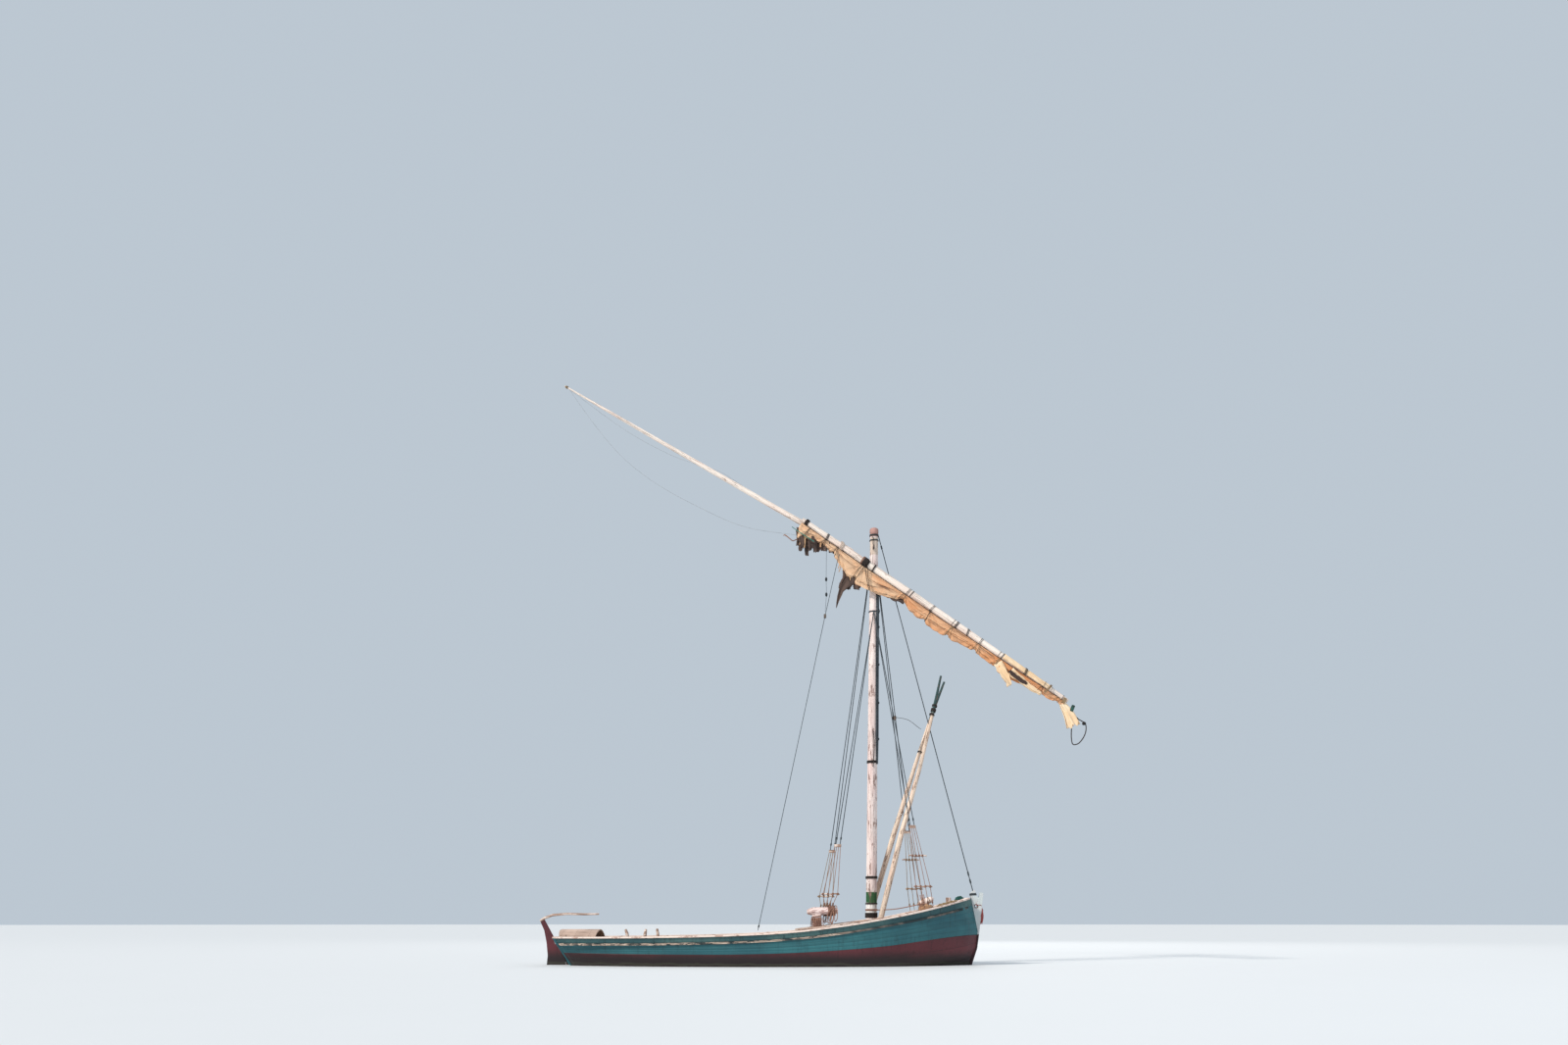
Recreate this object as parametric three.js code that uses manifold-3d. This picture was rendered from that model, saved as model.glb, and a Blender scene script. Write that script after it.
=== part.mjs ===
// A lateen-rigged Nile cargo sailing boat, about 14.5 m long, lying empty with its sail furled.
// Millimetres. +X towards the bow, +Y to port, +Z up. The origin is on the centreline at the waterline.
import * as THREE from "three";
import { mergeVertices } from "three/addons/utils/BufferGeometryUtils.js";
import Module from "manifold-3d";

const wasm = await Module();
wasm.setup();

// Driving dimensions
const SEAT = 0.4; // gap between pieces that touch
const PLANK = 60; // thickness of the hull planking
const KEEL_HALF = 110; // half the keel's width
const POST_HALF = 90; // half the stem's width
const KEEL_BOTTOM = -920;
const STERN_X = -6550; // raked stern line where it crosses the waterline
const STERN_RAKE = 0.62; // aft travel of the stern line for each unit of height
const BULWARK = { aft: 150, bow: 85 }; // height of the bulwark above the deck line, and what the bow adds
const RAIL_THICK = 55;
const DECK_TOP = -30; // deck surface, from the deck line
const DECK_UNDER = -75;
const HATCH = { aft: -3560, fore: 2500, half: 1500, board: 60, rise: 150 };
const FLOOR_TOP = -380;
const FLOOR_UNDER = -420;
const MAST = { x: 3530, z: 1500, rake: 0.0297, foot: -412, head: 15550, rLow: 190, rHigh: 150 };
const SLING_Z = 13850; // where the yard crosses the mast
const YARD_Y = -358; // the yard hangs on the starboard side
const YARD_SLOPE = 0.625; // radians that the lower spar dips towards the bow
const KNUCKLE = 0.972; // share of the length where the bow planks turn in to the stem

const COLOURS = {
  teal: "#2f7079",
  maroon: "#5a1a24",
  bleached: "#cdb3a2",
  deck: "#9c8672",
  grey: "#b9bdb8",
  darkTimber: "#5b4c42",
  white: "#e2dad2",
  canvas: "#cfae86",
  rope: "#8d7c66",
  tarred: "#3c4448",
  green: "#1f5f50",
};

// Hull stations from stern to bow. columns: share of length, keel rabbet height, bilge control half-breadth
// and height, paint line half-breadth and height, deck line half-breadth and height
const STATIONS = [
  [0.0, -350, 500, -300, 1020, 410, 1250, 715],
  [0.06, -520, 850, -480, 1330, 400, 1500, 715],
  [0.14, -660, 1350, -620, 1680, 390, 1800, 720],
  [0.25, -740, 1800, -720, 2000, 380, 2090, 735],
  [0.4, -760, 2120, -760, 2240, 380, 2310, 780],
  [0.55, -760, 2180, -760, 2280, 430, 2350, 885],
  [0.68, -760, 2080, -760, 2200, 530, 2290, 1085],
  [0.78, -740, 1750, -740, 1960, 645, 2090, 1300],
  [0.86, -690, 1300, -660, 1600, 790, 1770, 1500],
  [0.92, -600, 850, -520, 1190, 895, 1380, 1675],
  [KNUCKLE, -470, 380, -290, 660, 960, 830, 1840],
  [1.0, -380, 92, 100, 92, 970, 95, 1935],
];
const COLUMN = { keelZ: 1, bilgeY: 2, bilgeZ: 3, paintY: 4, paintZ: 5, deckY: 6, deckZ: 7 };

// Fore edge of the planking, and fore edge of the stem. columns: height, x
const RABBET = [[-380, 6150], [0, 6820], [540, 7060], [1080, 7150], [1940, 7010], [2260, 6960]];
const STEM_FRONT = [
  [-540, 6330], [-300, 6620], [0, 6900], [540, 7110], [1080, 7210], [1700, 7310], [2300, 7400],
];
const GRID = [
  0, 0.03, 0.07, 0.12, 0.18, 0.25, 0.32, 0.39, 0.46, 0.53, 0.6, 0.66, 0.72, 0.77, 0.82, 0.86, 0.9, 0.94,
  KNUCKLE, 1,
];
const BOTTOM_ROWS = 5;

const lerp = THREE.MathUtils.lerp;

// Straight-line reading of a table with columns: key, value
function readTable(table, key) {
  const last = table.length - 1;
  if (key <= table[0][0]) return table[0][1];
  if (key >= table[last][0]) return table[last][1];
  const i = table.findIndex((row, n) => key <= table[n + 1][0]);
  const share = (key - table[i][0]) / (table[i + 1][0] - table[i][0]);
  return lerp(table[i][1], table[i + 1][1], share);
}

// Smooth reading of one hull column, straight from the knuckle to the stem
function hullValue(column, u) {
  const rows = STATIONS;
  let i = rows.findIndex((row, n) => n < rows.length - 1 && u <= rows[n + 1][0]);
  if (i < 0) i = rows.length - 2;
  const [a, b] = [rows[i], rows[i + 1]];
  const span = b[0] - a[0];
  const t = (u - a[0]) / span;
  if (i >= rows.length - 2) return lerp(a[column], b[column], t);
  const slopeAt = (n) => {
    const lo = rows[Math.max(0, n - 1)];
    const hi = rows[Math.min(rows.length - 2, n + 1)];
    return (hi[column] - lo[column]) / (hi[0] - lo[0]);
  };
  const t2 = t * t;
  const t3 = t2 * t;
  return (
    (2 * t3 - 3 * t2 + 1) * a[column] +
    (t3 - 2 * t2 + t) * span * slopeAt(i) +
    (3 * t2 - 2 * t3) * b[column] +
    (t3 - t2) * span * slopeAt(i + 1)
  );
}

const bulwarkHeight = (u) => BULWARK.aft + BULWARK.bow * u ** 8;
const sternAt = (z) => STERN_X - STERN_RAKE * z;
const hullX = (u, z) => lerp(sternAt(z), readTable(RABBET, z), u);
const deckZ = (u) => hullValue(COLUMN.deckZ, u);

// Share of the length whose deck line lies at x
function shareAt(x) {
  let low = 0;
  let high = 1;
  for (let i = 0; i < 30; i++) {
    const mid = (low + high) / 2;
    if (hullX(mid, deckZ(mid)) < x) low = mid;
    else high = mid;
  }
  return low;
}
const deckHeightAt = (x) => deckZ(shareAt(x));
const railHalfAt = (x) => hullValue(COLUMN.deckY, shareAt(x)) + 40;

// Half section at u, from the keel to the rail, as [y, z]
function outerRows(u) {
  const at = (name) => hullValue(COLUMN[name], u);
  const keel = [POST_HALF, at("keelZ")];
  const control = [at("bilgeY"), at("bilgeZ")];
  const paint = [at("paintY"), at("paintZ")];
  const rows = [];
  for (let j = 0; j <= BOTTOM_ROWS; j++) {
    const t = j / BOTTOM_ROWS;
    rows.push([0, 1].map((k) => (1 - t) ** 2 * keel[k] + 2 * t * (1 - t) * control[k] + t * t * paint[k]));
  }
  const deck = [at("deckY"), at("deckZ")];
  const flare = u < 1 ? 40 : 0;
  rows.push(deck, [deck[0] + flare, deck[1] + bulwarkHeight(u)]);
  return rows;
}

// The same section moved inwards by a distance
function insetRows(rows, distance) {
  return rows.map(([y, z], j) => {
    if (j === rows.length - 1) return [Math.max(10, y - distance), z];
    const before = rows[Math.max(0, j - 1)];
    const after = rows[Math.min(rows.length - 1, j + 1)];
    const dy = after[0] - before[0];
    const dz = after[1] - before[1];
    const length = Math.hypot(dy, dz);
    return [Math.max(10, y - (dz / length) * distance), z + (dy / length) * distance];
  });
}

const PAINT_ROW = BOTTOM_ROWS;
const DECK_ROW = BOTTOM_ROWS + 1;
const RAIL_ROW = BOTTOM_ROWS + 2;

// Geometry helpers
// A closed body from rings of points: fan ends need a convex ring, strip ends a ring of two facing edges.
function ringBody(rings, ends = "fan") {
  const count = rings[0].length;
  const points = rings.flat();
  const faces = [];
  const quad = (a, b, c, d) => faces.push(a, b, c, a, c, d);
  for (let i = 0; i + 1 < rings.length; i++) {
    for (let j = 0; j + 1 < count; j++) {
      quad(i * count + j, i * count + j + 1, (i + 1) * count + j + 1, (i + 1) * count + j);
    }
    quad(i * count, (i + 1) * count, (i + 2) * count - 1, (i + 1) * count - 1);
  }
  for (const [row, turned] of [[0, true], [rings.length - 1, false]]) {
    const base = row * count;
    const half = count / 2;
    const cap = [];
    if (ends === "strip") {
      for (let j = 0; j + 1 < half; j++) {
        const [a, b, c, d] = [j, j + 1, count - 2 - j, count - 1 - j].map((n) => base + n);
        cap.push([a, b, c], [a, c, d]);
      }
    } else {
      const centre = points.length;
      const middle = new THREE.Vector3();
      for (const p of rings[row]) middle.addScaledVector(p, 1 / count);
      points.push(middle);
      for (let j = 0; j < count; j++) cap.push([centre, base + j, base + ((j + 1) % count)]);
    }
    for (const [a, b, c] of cap) faces.push(...(turned ? [a, c, b] : [a, b, c]));
  }
  const geometry = new THREE.BufferGeometry().setFromPoints(points);
  geometry.setIndex(faces);
  return facingOut(geometry);
}

function facingOut(geometry) {
  const p = geometry.getAttribute("position");
  const index = geometry.index.array;
  const [a, b, c] = [new THREE.Vector3(), new THREE.Vector3(), new THREE.Vector3()];
  let volume = 0;
  for (let i = 0; i < index.length; i += 3) {
    a.fromBufferAttribute(p, index[i]);
    b.fromBufferAttribute(p, index[i + 1]);
    c.fromBufferAttribute(p, index[i + 2]);
    volume += a.dot(b.cross(c));
  }
  for (let i = 0; volume < 0 && i < index.length; i += 3) {
    [index[i], index[i + 1]] = [index[i + 1], index[i]];
  }
  return geometry;
}

function mirrored(geometry) {
  const copy = geometry.clone().scale(1, -1, 1);
  return facingOut(copy);
}

function solidOf(geometry) {
  const bare = new THREE.BufferGeometry().setAttribute("position", geometry.getAttribute("position"));
  if (geometry.index) bare.setIndex(geometry.index);
  const merged = mergeVertices(bare, 1e-3);
  return new wasm.Manifold(
    new wasm.Mesh({
      numProp: 3,
      vertProperties: new Float32Array(merged.getAttribute("position").array),
      triVerts: new Uint32Array(merged.index.array),
    }),
  );
}

function geometryOf(solid) {
  const mesh = solid.getMesh();
  const geometry = new THREE.BufferGeometry();
  geometry.setAttribute("position", new THREE.BufferAttribute(new Float32Array(mesh.vertProperties), 3));
  geometry.setIndex(new THREE.BufferAttribute(new Uint32Array(mesh.triVerts), 1));
  return geometry;
}

const joined = (...solids) => solids.reduce((a, b) => a.add(b));

function boxGeometry([x0, x1], [y0, y1], [z0, z1]) {
  const box = new THREE.BoxGeometry(x1 - x0, y1 - y0, z1 - z0);
  return box.translate((x0 + x1) / 2, (y0 + y1) / 2, (z0 + z1) / 2);
}
const boxSolid = (x, y, z) => solidOf(boxGeometry(x, y, z));

// A round bar or rope along points, with a radius at each point
function roundBar(points, radii, sides = 10, flat = 1) {
  const path = points.map((p) => new THREE.Vector3(...p));
  const rings = path.map((p, i) => {
    const before = path[Math.max(0, i - 1)];
    const after = path[Math.min(path.length - 1, i + 1)];
    const along = after.clone().sub(before).normalize();
    const across = new THREE.Vector3(0, 1, 0);
    if (Math.abs(along.y) > 0.9) across.set(1, 0, 0);
    const up = new THREE.Vector3().crossVectors(along, across).normalize();
    across.crossVectors(up, along).normalize();
    const radius = Array.isArray(radii) ? radii[i] : radii;
    return Array.from({ length: sides }, (_, j) => {
      const angle = ((j + 0.5) / sides) * 2 * Math.PI;
      return p
        .clone()
        .addScaledVector(across, Math.cos(angle) * radius * flat)
        .addScaledVector(up, Math.sin(angle) * radius);
    });
  });
  return ringBody(rings);
}
const barSolid = (...args) => solidOf(roundBar(...args));

// A plate cut to an outline in the X-Z plane, between two values of Y
function platePlan(outline, y0, y1) {
  const shape = new THREE.Shape(outline.map(([x, z]) => new THREE.Vector2(x, z)));
  const geometry = new THREE.ExtrudeGeometry(shape, { depth: y1 - y0, bevelEnabled: false, steps: 1 });
  return geometry.rotateX(Math.PI / 2).translate(0, y1, 0);
}

// A ring round an axis along Z that clears a bar of the inner radius
function ringGeometry(clear, outer, low, high, sides = 16) {
  const inner = clear / Math.cos(Math.PI / sides);
  const profile = [[inner, low], [outer, low], [outer, high], [inner, high], [inner, low]];
  const points = profile.map(([r, z]) => new THREE.Vector2(r, z));
  return new THREE.LatheGeometry(points, sides).rotateX(Math.PI / 2);
}

const root = new THREE.Group();
const mastFrame = new THREE.Group();
mastFrame.position.set(MAST.x, 0, MAST.z);
mastFrame.rotation.y = Math.atan(MAST.rake);
const rudderFrame = new THREE.Group();
root.add(mastFrame, rudderFrame);

function addPiece(name, body, colour, parent = root) {
  const material = new THREE.MeshStandardMaterial({ color: COLOURS[colour], roughness: 0.8, metalness: 0 });
  const geometry = body instanceof THREE.BufferGeometry ? body : geometryOf(body);
  const mesh = new THREE.Mesh(geometry, material);
  mesh.name = name;
  parent.add(mesh);
  return mesh;
}

// Hull planking
// One strip of planking on the port side, between two rows of the section
function plankingStrip(fromRow, toRow) {
  const rings = GRID.map((u) => {
    const outer = outerRows(u);
    const inner = insetRows(outer, PLANK);
    const ring = [];
    const place = ([y, z], lift) => ring.push(new THREE.Vector3(hullX(u, z), y, z + lift));
    const lift = (j) => (j === fromRow && fromRow > 0 ? SEAT : 0);
    for (let j = fromRow; j <= toRow; j++) place(outer[j], lift(j));
    for (let j = toRow; j >= fromRow; j--) place(inner[j], lift(j));
    return ring;
  });
  return ringBody(rings, "strip");
}

// Space inside the planking on both sides, less a further inset
function insideHull(inset = 0) {
  const rings = GRID.map((u) => {
    const rows = insetRows(outerRows(u), PLANK + inset + SEAT);
    const ring = rows.map(([y, z]) => new THREE.Vector3(hullX(u, z), Math.max(5, y - SEAT), z));
    const [first, last] = [rows[0][1], rows[rows.length - 1][1]];
    ring.unshift(new THREE.Vector3(hullX(u, last), -4, last), new THREE.Vector3(hullX(u, first), -4, first));
    return ring.reverse();
  });
  const triangulated = ringBody(rings, "fan");
  return joined(solidOf(triangulated), solidOf(mirrored(triangulated)));
}

// A slab that follows the sheer, between two heights above the deck line
function sheerSlab(low, high, half = 3000) {
  const rings = GRID.map((u) => {
    const z = deckZ(u);
    const x = hullX(u, z);
    return [[half, low], [half, high], [-half, high], [-half, low]].map(
      ([y, rise]) => new THREE.Vector3(x, y, z + rise),
    );
  });
  return solidOf(ringBody(rings));
}

const inside = insideHull();

function addPlanking() {
  const strips = [
    ["bottom_planking", 0, PAINT_ROW, "maroon"],
    ["topside_planking", PAINT_ROW, DECK_ROW, "teal"],
    ["bulwark", DECK_ROW, RAIL_ROW, "teal"],
  ];
  for (const [name, from, to, colour] of strips) {
    const port = plankingStrip(from, to);
    addPiece(`${name}_port`, port, colour);
    addPiece(`${name}_starboard`, mirrored(port), colour);
  }
}

// A rail along the hull: columns of its section are distance out from the row and height above it
function hullRail(row, section, lastU) {
  const shares = GRID.filter((u) => u < lastU).concat([lastU]);
  const spot = (u) => {
    const [y, z] = outerRows(u)[row];
    return new THREE.Vector3(hullX(u, z), y, z);
  };
  const rings = shares.map((u) => {
    const here = spot(u);
    const along = spot(Math.min(1, u + 0.02)).sub(spot(Math.max(0, u - 0.02)));
    if (u === KNUCKLE) along.copy(spot(KNUCKLE)).sub(spot(0.94));
    const out = new THREE.Vector3(-along.y, along.x, 0).normalize();
    return section.map(([away, rise]) => here.clone().addScaledVector(out, away).setZ(here.z + rise));
  });
  return ringBody(rings);
}

// Sections as distance out from the planking and height above the row
const CAP_SECTION = [[-110, 1.6], [45, 1.6], [55, 30], [45, RAIL_THICK], [-110, RAIL_THICK]];
const RUB_SECTION = [[2.6, -75], [40, -60], [40, -14], [2.6, 0]];
const RAIL_END = 0.988; // share of the length where the rails stop, short of the stem
const STERN_RAIL = [[1, -60], [1, 80], [RAIL_THICK, 80], [RAIL_THICK, -60]];

function addRails() {
  const port = hullRail(RAIL_ROW, CAP_SECTION, RAIL_END);
  const [y, z] = outerRows(0)[RAIL_ROW];
  const low = sternAt(z);
  const stern = STERN_RAIL.map(([up, aft]) => [low - aft, z + up]);
  const rail = joined(solidOf(port), solidOf(mirrored(port)), solidOf(platePlan(stern, 20 - y, y - 20)));
  addPiece("cap_rail", rail, "bleached");
  for (const [name, side] of [["port", 1], ["starboard", -1]]) {
    const bitt = sideBitt(side);
    addPiece(`side_bitt_${name}`, bitt, "bleached");
    addShrouds(`shrouds_${name}`, side, EYES[name], rail, bitt);
  }
  const rub = hullRail(DECK_ROW, RUB_SECTION, RAIL_END);
  addPiece("rubbing_strake_port", rub, "darkTimber");
  addPiece("rubbing_strake_starboard", mirrored(rub), "darkTimber");
}

// Keel, posts and transom
const keelUnder = (u) => (u < 0.84 ? KEEL_BOTTOM : lerp(KEEL_BOTTOM, -540, (u - 0.84) / 0.16));

function addKeel() {
  const rings = GRID.map((u) => {
    const top = hullValue(COLUMN.keelZ, u) - SEAT;
    const low = keelUnder(u);
    const aft = u === 0 ? PLANK + 0.2 : 0;
    const at = (y, z) => new THREE.Vector3(hullX(u, z) - aft, y, z);
    return [at(KEEL_HALF, low), at(KEEL_HALF, top), at(-KEEL_HALF, top), at(-KEEL_HALF, low)];
  });
  addPiece("keel", ringBody(rings), "maroon");
}

const STEM_TOP = [[7400, 2335], [7300, 2350], [7255, 2190], [7175, 2200], [7120, 2440], [7035, 2390]];
const HAWSE = { x: 7140, z: 1900, r: 42 };

function addStem() {
  const aft = RABBET.map(([z, x]) => [x + SEAT, z]).reverse();
  const front = STEM_FRONT.map(([z, x]) => [x, z]);
  const outline = [...front, ...STEM_TOP, [6961, 2330], ...aft, [6150 + SEAT, -540]];
  const hole = solidOf(new THREE.CylinderGeometry(HAWSE.r, HAWSE.r, 400, 12).translate(HAWSE.x, 0, HAWSE.z));
  const stem = solidOf(platePlan(outline, -POST_HALF, POST_HALF)).subtract(hole);
  addPiece("stem", stem, "grey");
}

const STERNPOST = { half: 80, depth: 150 };
const RUDDER = { offset: 45, stock: 27, pintle: 18, thickness: 54, foot: -1059, head: 1700 };
const STRAP_LEVELS = [-780, 60, 860]; // middles of the rudder's three hangings, along its stock
const STRAP = { half: 40, play: 8, width: 38, plate: 6, bearing: 0.6 };
// Outline of the rudder blade, in the tilted frame of its stock. columns: distance aft, height
const BLADE = [
  [0, RUDDER.foot], [-916, -491], [-911, -141], [-665, 294], [-437, 624], [-277, 995], [-150, 1400],
  [-130, RUDDER.head], [0, RUDDER.head],
];
// The tiller's centre line in the same frame, and its radii
const TILLER = [[-125, 1745.5], [60, 1745.5], [330, 1690], [760, 1470], [1250, 1150], [1700, 880]];
const TILLER_RADII = [45, 45, 42, 38, 34, 28];

function addStern() {
  const port = outerRows(0);
  const both = [...port, ...port.map(([y, z]) => [-y, z]).reverse()];
  const ring = (shift) => both.map(([y, z]) => new THREE.Vector3(sternAt(z) - shift, y, z));
  addPiece("transom", ringBody([ring(SEAT), ring(PLANK)]), "teal");
  const [front, back] = [PLANK + 1, PLANK + STERNPOST.depth];
  const top = port[RAIL_ROW][1];
  const post = [[KEEL_BOTTOM, front], [top, front], [top, back], [KEEL_BOTTOM, back]];
  const profile = post.map(([z, shift]) => [sternAt(z) - shift, z]);
  addPiece("sternpost", platePlan(profile, -STERNPOST.half, STERNPOST.half), "teal");
}

function addRudder() {
  rudderFrame.position.set(STERN_X - PLANK - STERNPOST.depth - RUDDER.offset, 0, 0);
  rudderFrame.rotation.y = -Math.atan(STERN_RAKE);
  const { stock, pintle, thickness, foot, head } = RUDDER;
  const { half, play, width, plate, bearing } = STRAP;
  const halfThick = thickness / 2 - 1;
  const upright = (low, high, radius, sides) => barSolid([[0, 0, low], [0, 0, high]], radius, sides);
  let rudder = joined(solidOf(platePlan(BLADE, -halfThick, halfThick)), upright(foot, head, stock, 12));
  const face = RUDDER.offset * Math.cos(Math.atan(STERN_RAKE)) - SEAT;
  const [lowest, highest] = [STRAP_LEVELS[0] - half, STRAP_LEVELS[2] + half];
  let irons = boxSolid([face - plate, face], [-width, width], [lowest, highest]);
  for (const z of STRAP_LEVELS) {
    const levels = [z - half, z + half];
    rudder = rudder.subtract(boxSolid([-46, 60], [-60, 60], [levels[0] - play, levels[1] + play]));
    rudder = rudder.add(upright(z - 60, z + 60, pintle, 10));
    const eye = solidOf(ringGeometry(pintle + bearing, width, ...levels, 12));
    const arm = boxSolid([pintle + 4, face], [-width, width], levels);
    irons = irons.add(eye).add(arm.subtract(upright(z - 60, z + 60, pintle + 3, 12)));
  }
  addPiece("rudder_irons", irons, "darkTimber", rudderFrame);
  addPiece("rudder", rudder, "maroon", rudderFrame);
  const path = TILLER.map(([x, z]) => [x, 0, z]);
  addPiece("tiller", roundBar(path, TILLER_RADII, 10), "bleached", rudderFrame);
}

// Decks, hatch and hold
const WIDE = [-3000, 3000]; // wider than the hull
const TALL = [-2000, 4000]; // from under the keel to above the stem
const BOW_BITT = { x: 6200, half: 80, bury: 420, rise: 470, barRise: 300, barHalf: 290, barR: 42 };

// A square post's sides, further out by a distance
const postSides = ({ x, half }, grow) => [
  [x - half - grow, x + half + grow],
  [-half - grow, half + grow],
];

function addDecks() {
  const edge = HATCH.half + HATCH.board;
  const [aft, fore] = [HATCH.aft - HATCH.board, HATCH.fore + HATCH.board];
  const slab = sheerSlab(DECK_UNDER, DECK_TOP)
    .intersect(inside)
    .intersect(boxSolid([-6980, 6900], WIDE, TALL));
  const mastHole = barSolid([mastPoint(0), mastPoint(3000)], [MAST.rLow + 9, MAST.rLow - 1], 20);
  const hatch = boxSolid([aft - SEAT, fore + SEAT], [-edge - SEAT, edge + SEAT], TALL);
  const bitt = boxSolid(...postSides(BOW_BITT, SEAT), TALL);
  addPiece("deck", slab.subtract(hatch).subtract(mastHole).subtract(bitt), "deck");
  const coaming = sheerSlab(DECK_UNDER - 20, HATCH.rise)
    .intersect(boxSolid([aft, fore], [-edge, edge], TALL))
    .subtract(boxSolid([HATCH.aft, HATCH.fore], [-HATCH.half, HATCH.half], TALL));
  addPiece("hatch_coaming", coaming, "bleached");
  return coaming;
}

function mastPoint(z) {
  return [MAST.x + MAST.rake * (z - MAST.z), 0, z];
}

const FRAMES = { first: -3300, end: 2500, spacing: 920, half: 45, depth: 110 };
const KEELSON = { aft: -3560, fore: 3900, half: 120 };
const BULKHEAD = { near: 62, far: 110 }; // from the hatch opening to each face

function addHold() {
  const floorPlan = boxSolid([-3540, 2480], [-2200, 2200], [FLOOR_UNDER, FLOOR_TOP]);
  addPiece("hold_floor", floorPlan.intersect(insideHull(FRAMES.depth + 5)), "deck");
  const hollow = insideHull(FRAMES.depth);
  const underDeck = sheerSlab(-2600, DECK_UNDER - 1);
  const { aft, fore, half } = KEELSON;
  let frames = boxSolid([aft, fore], [-half, half], [-1000, FLOOR_UNDER - SEAT]).intersect(inside);
  const hatchway = [-HATCH.half - HATCH.board - 25, HATCH.half + HATCH.board + 25];
  for (let x = FRAMES.first; x < FRAMES.end; x += FRAMES.spacing) {
    const rib = inside.intersect(boxSolid([x - FRAMES.half, x + FRAMES.half], WIDE, TALL)).subtract(hollow);
    const cleared = rib.intersect(underDeck).subtract(boxSolid([x - 60, x + 60], hatchway, [600, 2000]));
    frames = frames.add(cleared);
  }
  addPiece("keelson_and_frames", frames, "darkTimber");
}

// A timber bulkhead under each end of the hatch
function addBulkheads() {
  const { near, far } = BULKHEAD;
  const ends = [
    ["aft_bulkhead", HATCH.aft - far, HATCH.aft - near],
    ["fore_bulkhead", HATCH.fore + near, HATCH.fore + far],
  ];
  const keelsonGap = boxSolid([-9000, 9000], [-KEELSON.half - 1, KEELSON.half + 1], [-1000, FLOOR_UNDER]);
  for (const [name, x0, x1] of ends) {
    const wall = boxSolid([x0, x1], WIDE, TALL).intersect(inside);
    addPiece(name, wall.intersect(sheerSlab(-2600, DECK_UNDER - SEAT)).subtract(keelsonGap), "deck");
  }
}

// A cambered platform over the stern between the bulwarks, open at its fore end
const STERN_COVER = { aft: -7060, fore: -5750, half: 1130, foot: 600, edge: 950, crown: 200, board: 40 };
// Space ahead of the transom. columns: x, height
const TRANSOM_SLOPE = [[-7290, 1500], [-6700, 500], [-4900, 500], [-4900, 1500]];

function addSternCover() {
  const { aft, fore, half, foot, edge, crown, board } = STERN_COVER;
  const arch = Array.from({ length: 11 }, (_, i) => {
    const y = lerp(-half, half, i / 10);
    return [y, edge + crown * (1 - (y / half) ** 2)];
  });
  const outer = [[-half, foot], ...arch, [half, foot]];
  const under = outer.map(([y, z]) => [y - Math.sign(y) * board, z === foot ? z : z - board]).reverse();
  const ring = (x) => [...outer, ...under].map(([y, z]) => new THREE.Vector3(x, y, z));
  const shell = solidOf(ringBody([ring(aft), ring(fore)], "strip"));
  const slope = (y) => TRANSOM_SLOPE.map(([x, z]) => new THREE.Vector3(x, y, z));
  const clear = solidOf(ringBody([slope(-1400), slope(1400)]));
  addPiece("stern_cover", shell.intersect(clear).subtract(underDeckTop()), "bleached");
}

const PARTNER = { x: [3150, 3910], half: 370, rise: 95, play: 5 };
const SPARE_TIMBER = { y: [-1580, -1450], aft: 900, fore: 3350, lowAft: 1050, lowFore: 1330, depth: 130 };

function addDeckGear(coaming) {
  const { x, bury, rise, barRise, barHalf, barR } = BOW_BITT;
  const deck = deckHeightAt(x) + DECK_TOP;
  const post = boxSolid(...postSides(BOW_BITT, 0), [deck - bury, deck + rise]);
  const bar = barSolid([[x, -barHalf, deck + barRise], [x, barHalf, deck + barRise]], barR, 10);
  addPiece("bow_bitt", post.add(bar), "bleached");
  const partner = sheerSlab(DECK_TOP + SEAT, DECK_TOP + PARTNER.rise)
    .intersect(boxSolid(PARTNER.x, [-PARTNER.half, PARTNER.half], [0, 3000]))
    .subtract(barSolid([mastPoint(0), mastPoint(3000)], [MAST.rLow + PARTNER.play, MAST.rLow - 5], 20));
  addPiece("mast_partner", partner, "bleached");
  const { y, aft, fore, lowAft, lowFore, depth } = SPARE_TIMBER;
  const outline = [[aft, lowAft], [fore, lowFore], [fore, lowFore + depth], [aft, lowAft + depth]];
  const timber = solidOf(platePlan(outline, ...y));
  addPiece("spare_timber", timber.subtract(coaming.translate([0, 0, SEAT])), "bleached");
}

// A short log on a post each side of the hatch, where the aft shrouds are set up
const SIDE_BITT = { aft: 1360, fore: 2300, y: 2080, z: 1730, r: 130, postX: 1640, postHalf: 95 };

function sideBitt(side) {
  const { aft, fore, y, z, r, postX, postHalf } = SIDE_BITT;
  const log = barSolid([[aft, side * y, z], [fore, side * y, z]], r, 14);
  const ys = [side * y - postHalf, side * y + postHalf];
  return log.add(boxSolid([postX - postHalf, postX + postHalf], ys, [600, z])).subtract(underDeckTop());
}

const underDeckTop = () => sheerSlab(-2600, DECK_TOP + SEAT);

// Soft things stowed on the fore deck. columns: name, centre, half sizes
const STOWED = [
  ["canvas_bundle", [5320, -1000, 1790], [310, 250, 400]],
  ["net_heap", [6590, 0, 1880], [250, 480, 400]],
];

function addStowed() {
  for (const [name, centre, half] of STOWED) {
    const heap = new THREE.SphereGeometry(1, 16, 10).scale(...half).translate(...centre);
    const colour = name === "net_heap" ? "green" : "canvas";
    addPiece(name, solidOf(heap).subtract(underDeckTop()), colour);
  }
}

// Mast and standing rigging
const mastRadius = (z) => lerp(MAST.rLow, MAST.rHigh, (z - MAST.z) / (MAST.head - MAST.z));
const upMast = (z) => (z - MAST.z) * Math.hypot(1, MAST.rake);

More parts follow.
